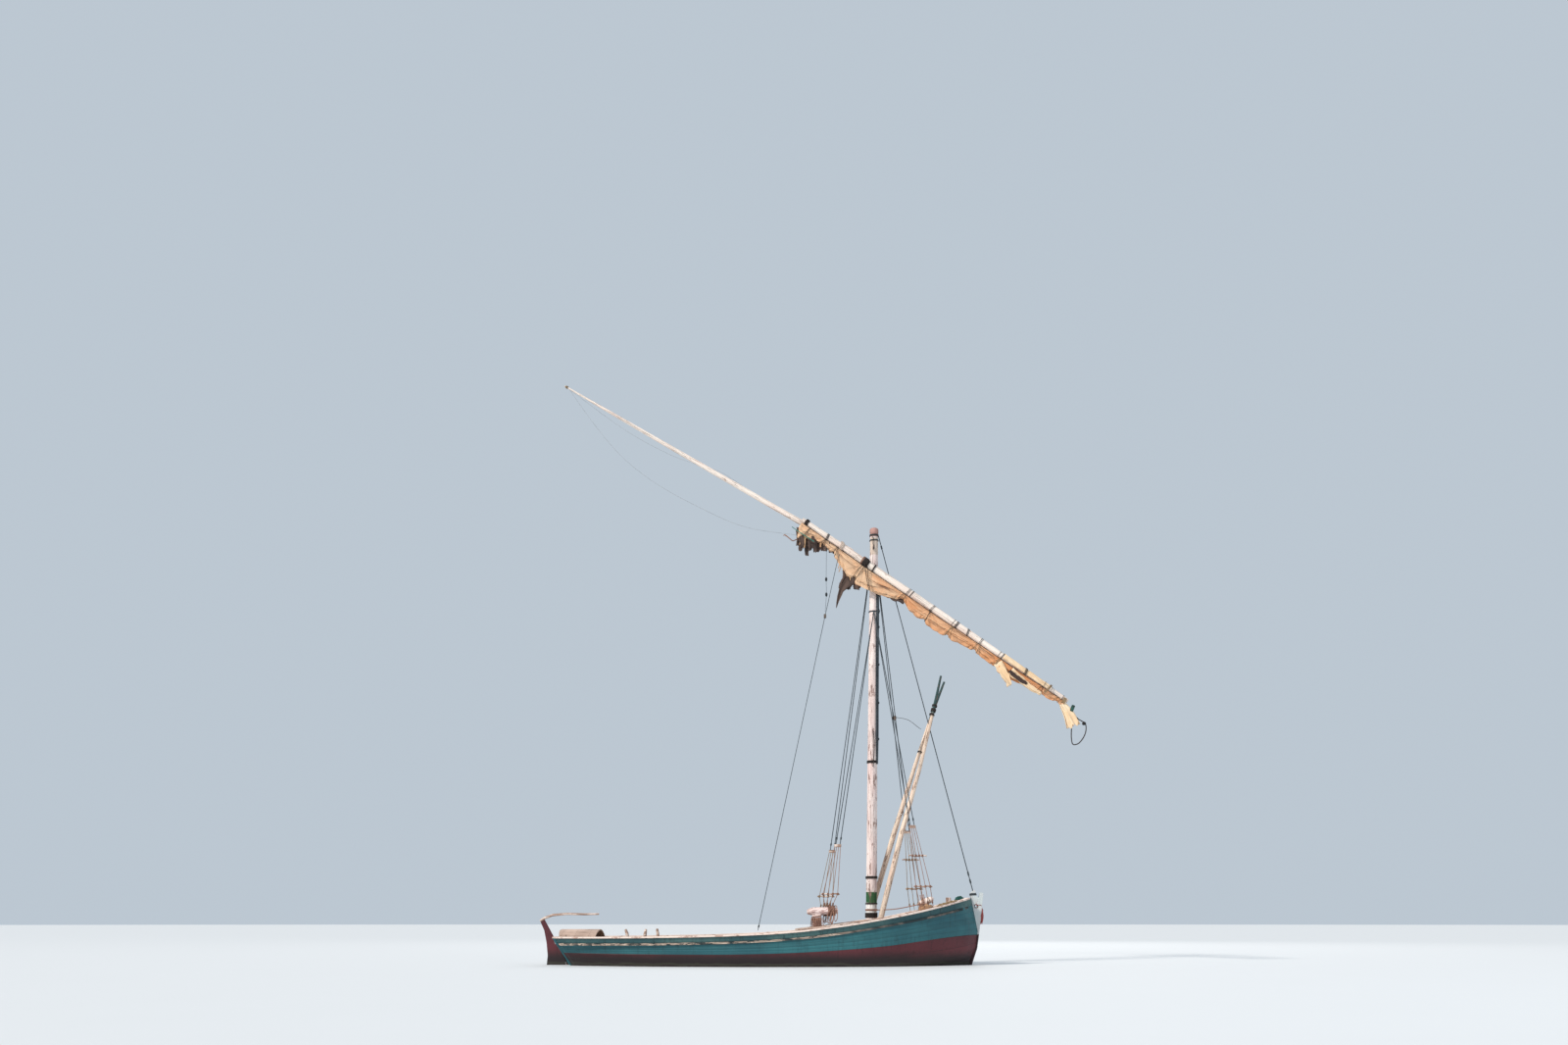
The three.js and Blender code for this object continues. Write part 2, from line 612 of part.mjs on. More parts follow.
// columns: height, how far the mast swells there beyond its taper
const MAST_LEVELS = [
  [MAST.foot, 0], [1500, 0], [6000, 0], [11000, 0], [15330, 0], [15350, 18], [15490, 14], [MAST.head, -30],
];
const SHEAVE = { low: 14560, high: 14860, half: 32, r: 120 };
const HOUNDS = { low: 13560, high: 13660, r: 198 };

function addMast() {
  const points = MAST_LEVELS.map(([z]) => [0, 0, upMast(z)]);
  const mast = barSolid(points, MAST_LEVELS.map(([z, swell]) => mastRadius(z) + swell), 20);
  const { low, high, half, r } = SHEAVE;
  const slot = boxSolid([-300, 300], [-half, half], [upMast(low), upMast(high)]);
  const levels = [upMast(HOUNDS.low), upMast(HOUNDS.high)];
  const hounds = solidOf(ringGeometry(mastRadius(HOUNDS.low) - 40, HOUNDS.r, ...levels, 20));
  addPiece("mast", mast.subtract(slot).add(hounds), "white", mastFrame);
  const middle = upMast((low + high) / 2);
  const sheave = barSolid([[0, -half + SEAT, middle], [0, half - SEAT, middle]], r, 16);
  addPiece("masthead_sheave", sheave, "darkTimber", mastFrame);
}

// Where each set of legs is set up: x, half-breadth and height of its foot, height of the tackle, heights of
// the bars, and how far the lanyards draw together at the foot
const RACKS = [
  { x: 1980, y: SIDE_BITT.y, z: 1800, tackle: 3820, bars: [2260], spread: 0.4 },
  { x: 5270, y: railHalfAt(5270) - 30, z: 0, tackle: 4470, bars: [2510, 3510], spread: 0.9 },
];
const EYES = { port: 15060, starboard: 12300, stay: 15250 };
const ROPE_R = 15;
const LANYARD_R = 11;

const EYE = { thick: 34, half: 26, standOff: 16 };

function eyeRing(z) {
  const [inner, middle] = [mastRadius(z), upMast(z)];
  const levels = [middle - EYE.half, middle + EYE.half];
  const ring = ringGeometry(inner + SEAT, inner + EYE.thick, ...levels, 20);
  mastFrame.updateMatrix();
  return solidOf(ring.applyMatrix4(mastFrame.matrix));
}

// The shrouds of one side: two sets of legs from one eye, each with its rack of bars and lanyards
function addShrouds(name, side, eyeZ, capRail, bitt) {
  let set = eyeRing(eyeZ);
  const top = mastPoint(eyeZ);
  top[1] = side * (mastRadius(eyeZ) + EYE.standOff);
  const railTop = (x) => deckHeightAt(x) + bulwarkHeight(shareAt(x)) + RAIL_THICK;
  for (const { x, y, z, tackle, bars, spread } of RACKS) {
    const foot = [x, side * y, z || railTop(x)];
    const at = (height, shift = 0) => {
      const t = (height - foot[2]) / (top[2] - foot[2]);
      return [lerp(foot[0], top[0], t) + shift, lerp(foot[1], top[1], t), height];
    };
    for (const shift of [-70, 70]) set = set.add(barSolid([at(tackle, shift), top], ROPE_R, 6));
    set = set.add(barSolid([at(tackle, -110), at(tackle, 110)], 40, 8));
    for (const shift of [-240, -80, 80, 240]) {
      const end = at((z || railTop(x + shift * spread)) - 15, shift * spread);
      set = set.add(barSolid([at(tackle, shift * 0.4), at(bars[0], shift), end], LANYARD_R, 6));
    }
    for (const height of bars) set = set.add(barSolid([at(height, -290), at(height, 290)], 24, 8));
  }
  const standing = joined(capRail, bitt).translate([0, 0, SEAT]);
  addPiece(name, set.subtract(standing), "tarred");
}

function addForestay() {
  const low = [7075, 0, 2330];
  const high = mastPoint(EYES.stay);
  high[0] += mastRadius(EYES.stay) + EYE.standOff;
  const notch = [[6900, 2000], [7600, 2000], [7600, 2200], [7176, 2201], [7119, 2441], [7035, 2391]];
  const stay = eyeRing(EYES.stay).add(barSolid([low, high], 17, 8));
  addPiece("forestay", stay.subtract(solidOf(platePlan(notch, -200, 200))), "tarred");
}

// The halyard's parts, drawn together down the mast on its fore and starboard side. columns: height, radius
const FALL = [
  [6650, 46], [8500, 58], [10500, 52], [12180, 56], [12250, 50], [12350, 50], [12420, 56], [13480, 50],
];
const FALL_ANGLE = 0.7; // radians from dead ahead, towards starboard
const STROP = { z: 6800, half: 30, thick: 30 };

function addHalyard() {
  const points = FALL.map(([z, r]) => {
    const away = mastRadius(z) + r + (Math.abs(z - EYES.starboard) < 60 ? EYE.thick + 4 : 2);
    return [away * Math.cos(FALL_ANGLE), -away * Math.sin(FALL_ANGLE), upMast(z)];
  });
  const fall = barSolid(points, FALL.map((row) => row[1]), 10);
  const [inner, middle] = [mastRadius(STROP.z), upMast(STROP.z)];
  const levels = [middle - STROP.half, middle + STROP.half];
  const strop = solidOf(ringGeometry(inner + SEAT, inner + STROP.thick, ...levels, 20));
  addPiece("halyard_fall", fall.add(strop), "tarred", mastFrame);
}

// Two long poles that lean over the foredeck and cross high up, one each side of the forestay.
// columns: x, y, z, radius
const POLES = {
  pole_port: [
    [3380, 500, 0, 96], [4400, 230, 4320, 94], [5190, 100, 6620, 70], [5940, 90, 8660, 56],
    [6380, 110, 9710, 38],
  ],
  pole_starboard: [
    [3740, -500, 0, 98], [4620, -250, 4290, 96], [5360, -100, 6600, 72], [5920, -90, 8630, 58],
    [6240, -110, 9890, 38],
  ],
};

function addPoles() {
  for (const [name, rows] of Object.entries(POLES)) {
    const foot = deckHeightAt(rows[0][0]) + DECK_TOP - 40;
    const points = rows.map(([x, y, z], i) => [x, y, i === 0 ? foot : z]);
    const pole = barSolid(points, rows.map((row) => row[3]), 12);
    addPiece(name, pole.subtract(sheerSlab(-2600, DECK_TOP + SEAT)), "white");
  }
}

// Yard, sail and parrel
const YARD_DIR = [Math.cos(YARD_SLOPE), -Math.sin(YARD_SLOPE)];
const slingX = mastPoint(SLING_Z)[0];
const alongYard = (s, drop = 0, y = YARD_Y) => [
  slingX + YARD_DIR[0] * s + YARD_DIR[1] * drop,
  y,
  SLING_Z + YARD_DIR[1] * s - YARD_DIR[0] * drop,
];
// columns: distance along the yard from the sling, radius
const LOWER_SPAR = [[-3300, 100], [-2000, 124], [0, 145], [3200, 145], [6000, 120], [8420, 86]];
// columns: distance along, depth of the bundle under the spar, half its width
const BUNDLE = [
  [-3230, 240, 70], [-3020, 600, 120], [-2560, 300, 125], [-1900, 280, 125], [-1300, 430, 130],
  [-700, 690, 150], [-50, 720, 160], [550, 600, 160], [1100, 400, 150], [1550, 250, 120],
  [2000, 410, 165], [2800, 500, 180], [3600, 480, 175], [4300, 350, 150], [5200, 340, 150],
  [6000, 450, 150], [6450, 400, 130], [7000, 280, 125], [7700, 240, 115], [8350, 170, 80],
];
const SAIL_Y = YARD_Y - 22;
// Cloth that hangs out of the bundle: a torn flap aft of the mast and the tack at the heel of the yard
const HANGINGS = [
  { path: [alongYard(-650, 760), [2790, 0, 13120], [2620, 0, 12680]], radii: [150, 90, 24], flat: 0.5 },
  {
    path: [alongYard(8150, 190), [10520, 0, 8760], [10660, 0, 8420], [10780, 0, 8080]],
    radii: [70, 110, 170, 190],
    flat: 0.45,
  },
];

const SPAR_SIDES = 14;
const UPPER_Y = YARD_Y + 262;
// columns: x, z, radius
const UPPER_SPAR = [
  [-8070, 21390, 34], [-5600, 19880, 66], [-2200, 17806, 96], [1100, 15805, 114], [3100, 14590, 118],
];
const LASHINGS = [-3080, -1500]; // distances along the yard from the sling
const LASHING_R = 148;

function addYard() {
  addPiece("yard_lower_spar", lowerSpar(0), "white");
  addPiece("yard_upper_spar", upperSpar(0), "white");
  LASHINGS.forEach((s, n) => {
    const lashing = lashingBlock(s, 0).subtract(lowerSpar(0.6)).subtract(upperSpar(0.6));
    addPiece(`spar_lashing_${n + 1}`, lashing, "rope");
  });
}

// A block round both spars where they overlap, as thick as a lashing
function lashingBlock(s, grow) {
  const [a, b] = UPPER_SPAR.slice(-2);
  const band = (shift) => {
    const [x, , z] = alongYard(s + shift);
    const one = new THREE.Vector3(x, YARD_Y, z);
    const two = new THREE.Vector3(x, UPPER_Y, lerp(a[1], b[1], (x - a[0]) / (b[0] - a[0])));
    const side = two.clone().sub(one).normalize();
    const normal = new THREE.Vector3(YARD_DIR[0], 0, YARD_DIR[1]).cross(side).normalize();
    return Array.from({ length: 16 }, (_, k) => {
      const angle = ((k + 0.5) / 16) * 2 * Math.PI;
      const centre = (Math.cos(angle) > 0 ? two : one).clone();
      return centre
        .addScaledVector(side, Math.cos(angle) * (LASHING_R + grow))
        .addScaledVector(normal, Math.sin(angle) * (LASHING_R + grow));
    });
  };
  return solidOf(ringBody([band(-70 - grow), band(70 + grow)]));
}

const lowerSpar = (grow) =>
  barSolid(LOWER_SPAR.map(([t]) => alongYard(t)), LOWER_SPAR.map(([, r]) => r + grow), SPAR_SIDES);
const upperSpar = (grow) =>
  barSolid(UPPER_SPAR.map(([x, z]) => [x, UPPER_Y, z]), UPPER_SPAR.map((row) => row[2] + grow), 12);

function addSail() {
  const rings = BUNDLE.map(([s, depth, half]) => {
    const ring = [];
    const top = readTable(LOWER_SPAR, s) + 1.2;
    for (let k = 0; k < 12; k++) {
      const angle = (k / 12) * 2 * Math.PI;
      const drop = top + depth / 2 - (Math.cos(angle) * depth) / 2;
      ring.push(new THREE.Vector3(...alongYard(s, drop, SAIL_Y + Math.sin(angle) * half)));
    }
    return ring;
  });
  let sail = solidOf(ringBody(rings));
  for (const { path, radii, flat } of HANGINGS) {
    sail = sail.add(barSolid(path.map(([x, , z]) => [x, SAIL_Y, z]), radii, 8, flat));
  }
  for (const s of LASHINGS) sail = sail.subtract(lashingBlock(s, 1));
  addPiece("furled_sail", sail, "canvas");
}

const PARREL = { play: 7, r: 200, above: 90, bossR: 60 };

function addParrel() {
  const z = upMast(SLING_Z);
  const { play, r, above, bossR } = PARREL;
  const ringLow = upMast(HOUNDS.high) + SEAT;
  const ring = solidOf(ringGeometry(mastRadius(SLING_Z) + play, r, ringLow, z + above, 20));
  const reach = YARD_Y + readTable(LOWER_SPAR, 0) * Math.cos(Math.PI / SPAR_SIDES) + SEAT;
  const boss = barSolid([[0, 10 - r, z], [0, reach, z]], bossR, 12);
  addPiece("parrel", ring.add(boss), "rope", mastFrame);
}

addPlanking();
addRails();
addForestay();
addKeel();
addStem();
addStern();
addRudder();
const coaming = addDecks();
addHold();
addBulkheads();
addSternCover();
addDeckGear(coaming);
addStowed();
addMast();
addHalyard();
addPoles();
addYard();
addSail();
addParrel();

export default root;
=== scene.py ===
"""Looks of a lateen-rigged Nile cargo sailing boat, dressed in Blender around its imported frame.

Metres. +X towards the bow, +Y to port, +Z up, and the waterline is at z = 0.
"""

import logging
from dataclasses import dataclass, field
from enum import Enum
from functools import cached_property
from math import atan2, copysign, cos, exp, hypot, pi, radians, sin
from random import Random
from typing import Any, Callable, Sequence

import bmesh
import bpy
from mathutils import Matrix, Vector, noise
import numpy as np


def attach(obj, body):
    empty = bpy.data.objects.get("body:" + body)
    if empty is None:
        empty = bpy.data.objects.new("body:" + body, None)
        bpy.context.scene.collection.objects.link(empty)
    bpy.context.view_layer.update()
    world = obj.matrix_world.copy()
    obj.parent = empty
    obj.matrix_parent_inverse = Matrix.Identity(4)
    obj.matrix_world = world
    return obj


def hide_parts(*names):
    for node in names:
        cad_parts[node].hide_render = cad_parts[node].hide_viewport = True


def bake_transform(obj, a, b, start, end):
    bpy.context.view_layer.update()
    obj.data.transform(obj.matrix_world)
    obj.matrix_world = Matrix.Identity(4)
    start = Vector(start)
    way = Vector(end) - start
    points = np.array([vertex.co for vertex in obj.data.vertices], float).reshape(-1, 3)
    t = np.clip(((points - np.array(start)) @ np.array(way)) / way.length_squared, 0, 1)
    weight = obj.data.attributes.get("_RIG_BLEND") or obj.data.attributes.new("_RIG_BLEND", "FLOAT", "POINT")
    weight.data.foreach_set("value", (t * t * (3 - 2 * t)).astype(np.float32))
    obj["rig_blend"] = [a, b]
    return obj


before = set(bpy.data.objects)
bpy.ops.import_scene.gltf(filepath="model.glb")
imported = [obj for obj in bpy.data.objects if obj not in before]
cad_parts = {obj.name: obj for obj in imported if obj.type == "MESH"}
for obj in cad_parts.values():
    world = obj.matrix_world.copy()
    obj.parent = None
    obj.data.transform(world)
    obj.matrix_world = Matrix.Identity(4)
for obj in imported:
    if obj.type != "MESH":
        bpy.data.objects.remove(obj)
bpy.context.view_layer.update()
LOG = logging.getLogger("boat")
TAU = 2 * pi
UP = Vector((0, 0, 1))
ACROSS = Vector((0, 1, 0))
SIDES = ((1, "port"), (-1, "starboard"))

RGB = tuple[float, float, float]
Point = tuple[float, float, float]
Place = Point | Vector
Charted = tuple[Vector, tuple[float, float]]
Strip = tuple[Sequence[Place], float, float]


def srgb(red: int, green: int, blue: int) -> RGB:
    """Turns a colour as seen on screen, 0 to 255, into the linear values that shaders take."""
    return tuple(
        c / 3294.6 if c <= 10 else ((c / 255 + 0.055) / 1.055) ** 2.4 for c in (red, green, blue)
    )


def lerp(a: float, b: float, t: float) -> float:
    """Value that lies the share t of the way from a to b."""
    return a + (b - a) * t


def read(table: Sequence[Sequence[float]], key: float, column: int = 1) -> float:
    """Reads a table by straight lines between its rows.

    Args:
        table: Rows in rising order of their first value.
        key: Where to read.
        column: Which value of a row to give.

    Returns:
        The value at the key, held level past both ends.
    """
    if key <= table[0][0]:
        return table[0][column]
    for low, high in zip(table, table[1:]):
        if key <= high[0]:
            return lerp(low[column], high[column], (key - low[0]) / (high[0] - low[0]))
    return table[-1][column]


def smooth_read(table: Sequence[Sequence[float]], key: float, column: int = 1) -> float:
    """Reads a table by a smooth curve through its rows.

    Args:
        table: Rows in rising order of their first value.
        key: Where to read.
        column: Which value of a row to give.

    Returns:
        The value at the key, held level past both ends.
    """
    last = len(table) - 1
    if key <= table[0][0]:
        return table[0][column]
    if key >= table[last][0]:
        return table[last][column]
    i = next(n for n in range(last) if key <= table[n + 1][0])
    span = table[i + 1][0] - table[i][0]

    def slope(n: int) -> float:
        """Slope of the curve at row n."""
        low, high = table[max(0, n - 1)], table[min(last, n + 1)]
        return (high[column] - low[column]) / (high[0] - low[0])

    t = (key - table[i][0]) / span
    t2, t3 = t * t, t * t * t
    return (
        (2 * t3 - 3 * t2 + 1) * table[i][column]
        + (t3 - 2 * t2 + t) * span * slope(i)
        + (3 * t2 - 2 * t3) * table[i + 1][column]
        + (t3 - t2) * span * slope(i + 1)
    )


def halved(below: Callable[[float], bool], rounds: int) -> float:
    """Share from 0 to 1 up to which a test holds, found by halving the span again and again.

    Args:
        below: The test on a share.
        rounds: How often the span is halved.

    Returns:
        The share.
    """
    low, high = 0.0, 1.0
    for _ in range(rounds):
        middle = (low + high) / 2
        low, high = (middle, high) if below(middle) else (low, middle)
    return low


class Body(Enum):
    """The CAD bodies that pieces ride on."""

    HULL = "hull"
    PARREL = "parrel"
    YARD = "yard"


class Slot(Enum):
    """The record's material slots."""

    TOPSIDE = "topside_paint"
    BOTTOM = "bottom_paint"
    RAIL = "worn_rail"
    DARK = "dark_timber"
    SPAR = "spar_paint"
    CANVAS = "canvas"
    NET = "net"
    ROPE = "rope"
    TARRED = "tarred_rope"
    IRON = "iron"


class Field:
    """A value or colour on its way through a material's nodes."""

    def __init__(self, web: "Web", socket: bpy.types.NodeSocket) -> None:
        """Wraps one output socket of a web of nodes."""
        self.web = web
        self.socket = socket

    def _math(self, operation: str, *values: "Field | float") -> "Field":
        """One Math node on the given values."""
        return self.web.node("ShaderNodeMath", {"operation": operation}, dict(enumerate(values)))

    def __add__(self, other: "Field | float") -> "Field":
        """Sum."""
        return self._math("ADD", self, other)

    __radd__ = __add__

    def __sub__(self, other: "Field | float") -> "Field":
        """Difference."""
        return self._math("SUBTRACT", self, other)

    def __rsub__(self, other: "Field | float") -> "Field":
        """Reflected difference."""
        return self._math("SUBTRACT", other, self)

    def __mul__(self, other: "Field | float") -> "Field":
        """Product."""
        return self._math("MULTIPLY", self, other)

    __rmul__ = __mul__

    def __truediv__(self, other: "Field | float") -> "Field":
        """Quotient."""
        return self._math("DIVIDE", self, other)

    def floor(self) -> "Field":
        """Whole part."""
        return self._math("FLOOR", self)

    def sin(self) -> "Field":
        """Sine."""
        return self._math("SINE", self)

    def most(self, other: "Field | float") -> "Field":
        """The larger of two values."""
        return self._math("MAXIMUM", self, other)

    def edge(self) -> "Field":
        """Distance from the nearest whole number."""
        return self._math("PINGPONG", self, 0.5)

    def rise(self, low: float, high: float) -> "Field":
        """Smooth step from 0 at low to 1 at high; low may be above high.

        Args:
            low: Value where the step is 0.
            high: Value where it is 1.

        Returns:
            The step as a field.
        """
        values = {"Value": self, "From Min": min(low, high), "From Max": max(low, high)}
        step = self.web.node("ShaderNodeMapRange", {"interpolation_type": "SMOOTHSTEP"}, values)
        return step if low < high else 1 - step


class Web:
    """The nodes of one material."""

    def __init__(self, name: str) -> None:
        """Starts a material with a bare surface shader.

        Args:
            name: The material's name.
        """
        self.material = bpy.data.materials.new(name)
        self.material.use_nodes = True
        self.tree = self.material.node_tree
        self.shader = self.tree.nodes["Principled BSDF"]

    def fill(self, socket: bpy.types.NodeSocket, value: Any) -> None:
        """Sets a socket to a number, vector or colour, or links a field to it."""
        if isinstance(value, Field):
            self.tree.links.new(value.socket, socket)
        elif socket.type == "RGBA" and len(value) == 3:
            socket.default_value = (*value, 1.0)
        else:
            socket.default_value = value

    def node(self, kind: str, settings: dict[str, Any], inputs: dict[Any, Any], output: Any = 0) -> Field:
        """Adds one node.

        Args:
            kind: Blender's name for the node type.
            settings: Properties set first; "stops" fills a colour ramp with (place, colour) pairs.
            inputs: Values or fields by socket name or number.
            output: Name or number of the output to give back.

        Returns:
            The node's output as a field.
        """
        made = self.tree.nodes.new(kind)
        for key, value in settings.items():
            if key == "stops":
                elements = made.color_ramp.elements
                while len(elements) < len(value):
                    elements.new(0.5)
                for element, (place, colour) in zip(elements, value):
                    element.position = place
                    element.color = (*colour, 1.0)
            else:
                setattr(made, key, value)
        for key, value in inputs.items():
            self.fill(made.inputs[key], value)
        return Field(self, made.outputs[output])

    def place(self, stretch: Point = (1, 1, 1), turn: Point = (0, 0, 0)) -> Field:
        """Place on the object, stretched along each axis and then turned.

        Args:
            stretch: Factor along each axis.
            turn: Turn about each axis, in radians.

        Returns:
            The place as a field.
        """
        spot = self.node("ShaderNodeTexCoord", {}, {}, "Object")
        inputs = {"Vector": spot, "Rotation": turn, "Scale": stretch}
        return self.node("ShaderNodeMapping", {"vector_type": "POINT"}, inputs)

    def chart(self, stretch: Point = (1, 1, 1)) -> Field:
        """Place on the piece's own UV map, stretched along each axis."""
        spot = self.node("ShaderNodeUVMap", {"uv_map": "UVMap"}, {})
        return self.node("ShaderNodeMapping", {"vector_type": "POINT"}, {"Vector": spot, "Scale": stretch})

    def attribute(self, name: str) -> Field:
        """A value kept on the piece's points, 0 where it has none."""
        return self.node("ShaderNodeAttribute", {"attribute_name": name}, {}, "Fac")

    def part(self, vector: Field, axis: str) -> Field:
        """One coordinate of a vector: X, Y or Z."""
        return self.node("ShaderNodeSeparateXYZ", {}, {0: vector}, axis)

    def noise(self, vector: Field, scale: float, detail: float = 3, rough: float = 0.55) -> Field:
        """Cloudy noise from 0 to 1."""
        inputs = {"Vector": vector, "Scale": scale, "Detail": detail, "Roughness": rough}
        return self.node("ShaderNodeTexNoise", {}, inputs, "Fac")

    def cells(self, vector: Field, scale: float) -> Field:
        """Distance from the edges in a pattern of cells."""
        inputs = {"Vector": vector, "Scale": scale}
        return self.node("ShaderNodeTexVoronoi", {"feature": "DISTANCE_TO_EDGE"}, inputs)

    def chance(self, value: Field) -> Field:
        """An even random number for each different value."""
        return self.node("ShaderNodeTexWhiteNoise", {"noise_dimensions": "1D"}, {"W": value}, "Value")

    def blend(self, share: Field | float, under: Field | RGB, over: Field | RGB) -> Field:
        """Colour that goes from under to over as the share rises."""
        settings = {"data_type": "RGBA", "clamp_factor": True}
        return self.node("ShaderNodeMix", settings, {0: share, 6: under, 7: over}, 2)

    def bump(self, height: Field, distance: float, normal: Field | None = None) -> Field:
        """Surface direction over a height map.

        Args:
            height: The relief, 0 to 1.
            distance: What a height of 1 stands for, in metres.
            normal: A relief that this one lies on.

        Returns:
            The normal to give the shader or the next bump.
        """
        inputs: dict[Any, Any] = {"Height": height, "Distance": distance, "Strength": 1.0}
        if normal is not None:
            inputs["Normal"] = normal
        return self.node("ShaderNodeBump", {}, inputs)

    def dress(self, **sockets: Any) -> bpy.types.Material:
        """Fills the surface shader's sockets, named with _ for a space, and gives the material."""
        for name, value in sockets.items():
            self.fill(self.shader.inputs[name.replace("_", " ").title()], value)
        return self.material


@dataclass(frozen=True)
class Finish:
    """A surface finish, made into a material once, and the record's slot for what wears it."""

    name: str
    slot: Slot | None = field(default=None, kw_only=True)

    @cached_property
    def material(self) -> bpy.types.Material:
        """The finish as a Blender material."""
        return self.weave(Web(self.name))

    def weave(self, web: Web) -> bpy.types.Material:
        """Builds the nodes of the finish."""
        raise NotImplementedError


@dataclass(frozen=True)
class HullPaint(Finish):
    """Old oil paint on planking, faded, streaked and chipped down to older coats.

    With strakes on, the UV map runs in metres along the hull and in strakes across it.
    """

    colour: RGB
    faded: RGB
    grime: RGB
    primer: RGB
    chips: float
    strakes: bool = True
    soaked_shade_height: float = 0.0
    soaked_shade_colour: RGB = (0.01, 0.01, 0.01)
    butt: float = 2.9
    streaks: float = 0.55
    slot: Slot | None = field(default=Slot.TOPSIDE, kw_only=True)

    def weave(self, web: Web) -> bpy.types.Material:
        """Builds the nodes: broad fading, run-down streaks, chips, seams, nails and the soaked band at the
        waterline, darkened near black also as painted shade and a painted reflection of dark water.

        Args:
            web: The nodes that it adds to.

        Returns:
            The material.
        """
        clouds = web.noise(web.place((0.5, 0.5, 0.9)), 1.0, 4)
        fine = web.noise(web.place((2.2, 2.2, 16)), 3.0, 4, 0.65)
        runs = web.noise(web.place((5.5, 5.5, 0.45)), 2.2, 3, 0.6)
        colour = web.blend(clouds.rise(0.36, 0.72), self.colour, self.faded)
        colour = web.blend(fine.rise(0.45, 0.8) * 0.28, colour, self.faded)
        colour = web.blend(runs.rise(0.5, 0.78) * self.streaks, colour, self.grime)
        height = fine * 0.25
        chip_noise = web.noise(web.place((3.2, 3.2, 7.5)), 4.5, 5, 0.7)
        if self.strakes:
            chart = web.chart()
            along, across = web.part(chart, "X"), web.part(chart, "Y")
            strake = across.floor()
            tone = web.chance(strake)
            colour = web.blend(tone * 0.22, colour, self.grime)
            seam = across.edge().rise(0.045, 0.0)
            ends = ((along + tone * 7.1) / self.butt).edge().rise(0.0022, 0.0008)
            line = seam.most(ends)
            nail_x = ((along + 0.11) / 0.46).edge() * 0.46
            nail_y = (across * 2 + 0.5).edge() * 0.09
            nails = (nail_x * nail_x + nail_y * nail_y).rise(0.00016, 0.00004)
            colour = web.blend(line * 0.55, colour, self.grime)
            colour = web.blend(nails * 0.5, colour, self.grime)
            height = height - line * 0.9 - nails * 0.5
            chip_noise = chip_noise + line * 0.05
        chips = chip_noise.rise(0.8 - 0.13 * self.chips, 0.83 - 0.13 * self.chips)
        colour = web.blend(chips * 0.85, colour, self.primer)
        height = height - chips * 0.5
        roughness = 0.46 + fine * 0.3 + chips * 0.15
        # Near the waterline the colour goes near black: a soaked hull, plus painted shade of the hull's
        # underside and a painted reflection of dark water.
        if self.soaked_shade_height > 0:
            level = web.part(web.place(), "Z")
            line = level + (web.noise(web.place((1.2, 1.2, 1.2)), 1.6, 4) - 0.5) * 0.16
            soaked_and_shaded = line.rise(self.soaked_shade_height, self.soaked_shade_height * 0.35)
            colour = web.blend(soaked_and_shaded * 0.93, colour, self.soaked_shade_colour)
            scum = line.rise(0.02, 0.06) * line.rise(0.13, 0.07)
            colour = web.blend(scum * 0.3, colour, srgb(78, 84, 62))
            roughness = roughness - soaked_and_shaded * 0.12
        return web.dress(base_color=colour, roughness=roughness, normal=web.bump(height, 0.0035))


@dataclass(frozen=True)
class WornTimber(Finish):
    """Bleached timber with the remains of its paint, grain along one axis."""

    light: RGB
    dark: RGB
    paint: RGB
    coat: float
    grain: Point
    chart: bool = False
    relief: float = 0.003
    painted: tuple[float, float] | None = None
    foot: float | None = None
    foot_colour: RGB = (0.05, 0.01, 0.02)
    slot: Slot | None = field(default=Slot.RAIL, kw_only=True)

    def weave(self, web: Web) -> bpy.types.Material:
        """Builds the nodes: grain, checks, patches of paint and dirt.

        Args:
            web: The nodes that it adds to.

        Returns:
            The material.
        """
        at: Callable[[Point], Field] = web.chart if self.chart else web.place
        grain = web.noise(at(self.grain), 2.4, 6, 0.62)
        thin = tuple(g * (1 if g < 2 else 3.2) for g in self.grain)
        fibre = web.noise(at(thin), 3.0, 3, 0.6)
        checks = web.noise(at(tuple(g * (0.45 if g < 2 else 1.4) for g in self.grain)), 2.0, 2, 0.5)
        wood = web.blend(grain.rise(0.3, 0.72), self.dark, self.light)
        wood = web.blend(fibre.rise(0.55, 0.8) * 0.35, wood, self.dark)
        patch = web.noise(at(tuple(g * 0.22 + 0.9 for g in self.grain)), 2.6, 5, 0.68)
        left = (patch + grain * 0.22).rise(0.74 - 0.42 * self.coat, 0.78 - 0.42 * self.coat)
        tint = web.noise(web.place(), 3.1, 2)
        paint = web.blend(tint.rise(0.4, 0.75) * 0.22, self.paint, self.light)
        if self.painted is not None:
            left = left.most(web.part(web.place(), "X").rise(*self.painted) * (0.8 + patch * 0.4))
        colour = web.blend(left, wood, paint)
        crack = checks.rise(0.482, 0.5) * checks.rise(0.518, 0.5) * (1 - left * 0.6)
        colour = web.blend(crack * 0.6, colour, tuple(c * 0.4 for c in self.dark))
        dirt = web.noise(web.place(), 1.7, 4)
        colour = web.blend(dirt.rise(0.55, 0.85) * 0.35, colour, self.dark)
        if self.foot is not None:
            level = web.part(web.place(), "Z") + (dirt - 0.5) * 0.12
            colour = web.blend(level.rise(self.foot + 0.02, self.foot - 0.02), colour, self.foot_colour)
        height = grain * 0.4 + fibre * 0.25 + left * 0.25 - crack * 0.8
        return web.dress(
            base_color=colour, roughness=0.62 + grain * 0.25, normal=web.bump(height, self.relief)
        )


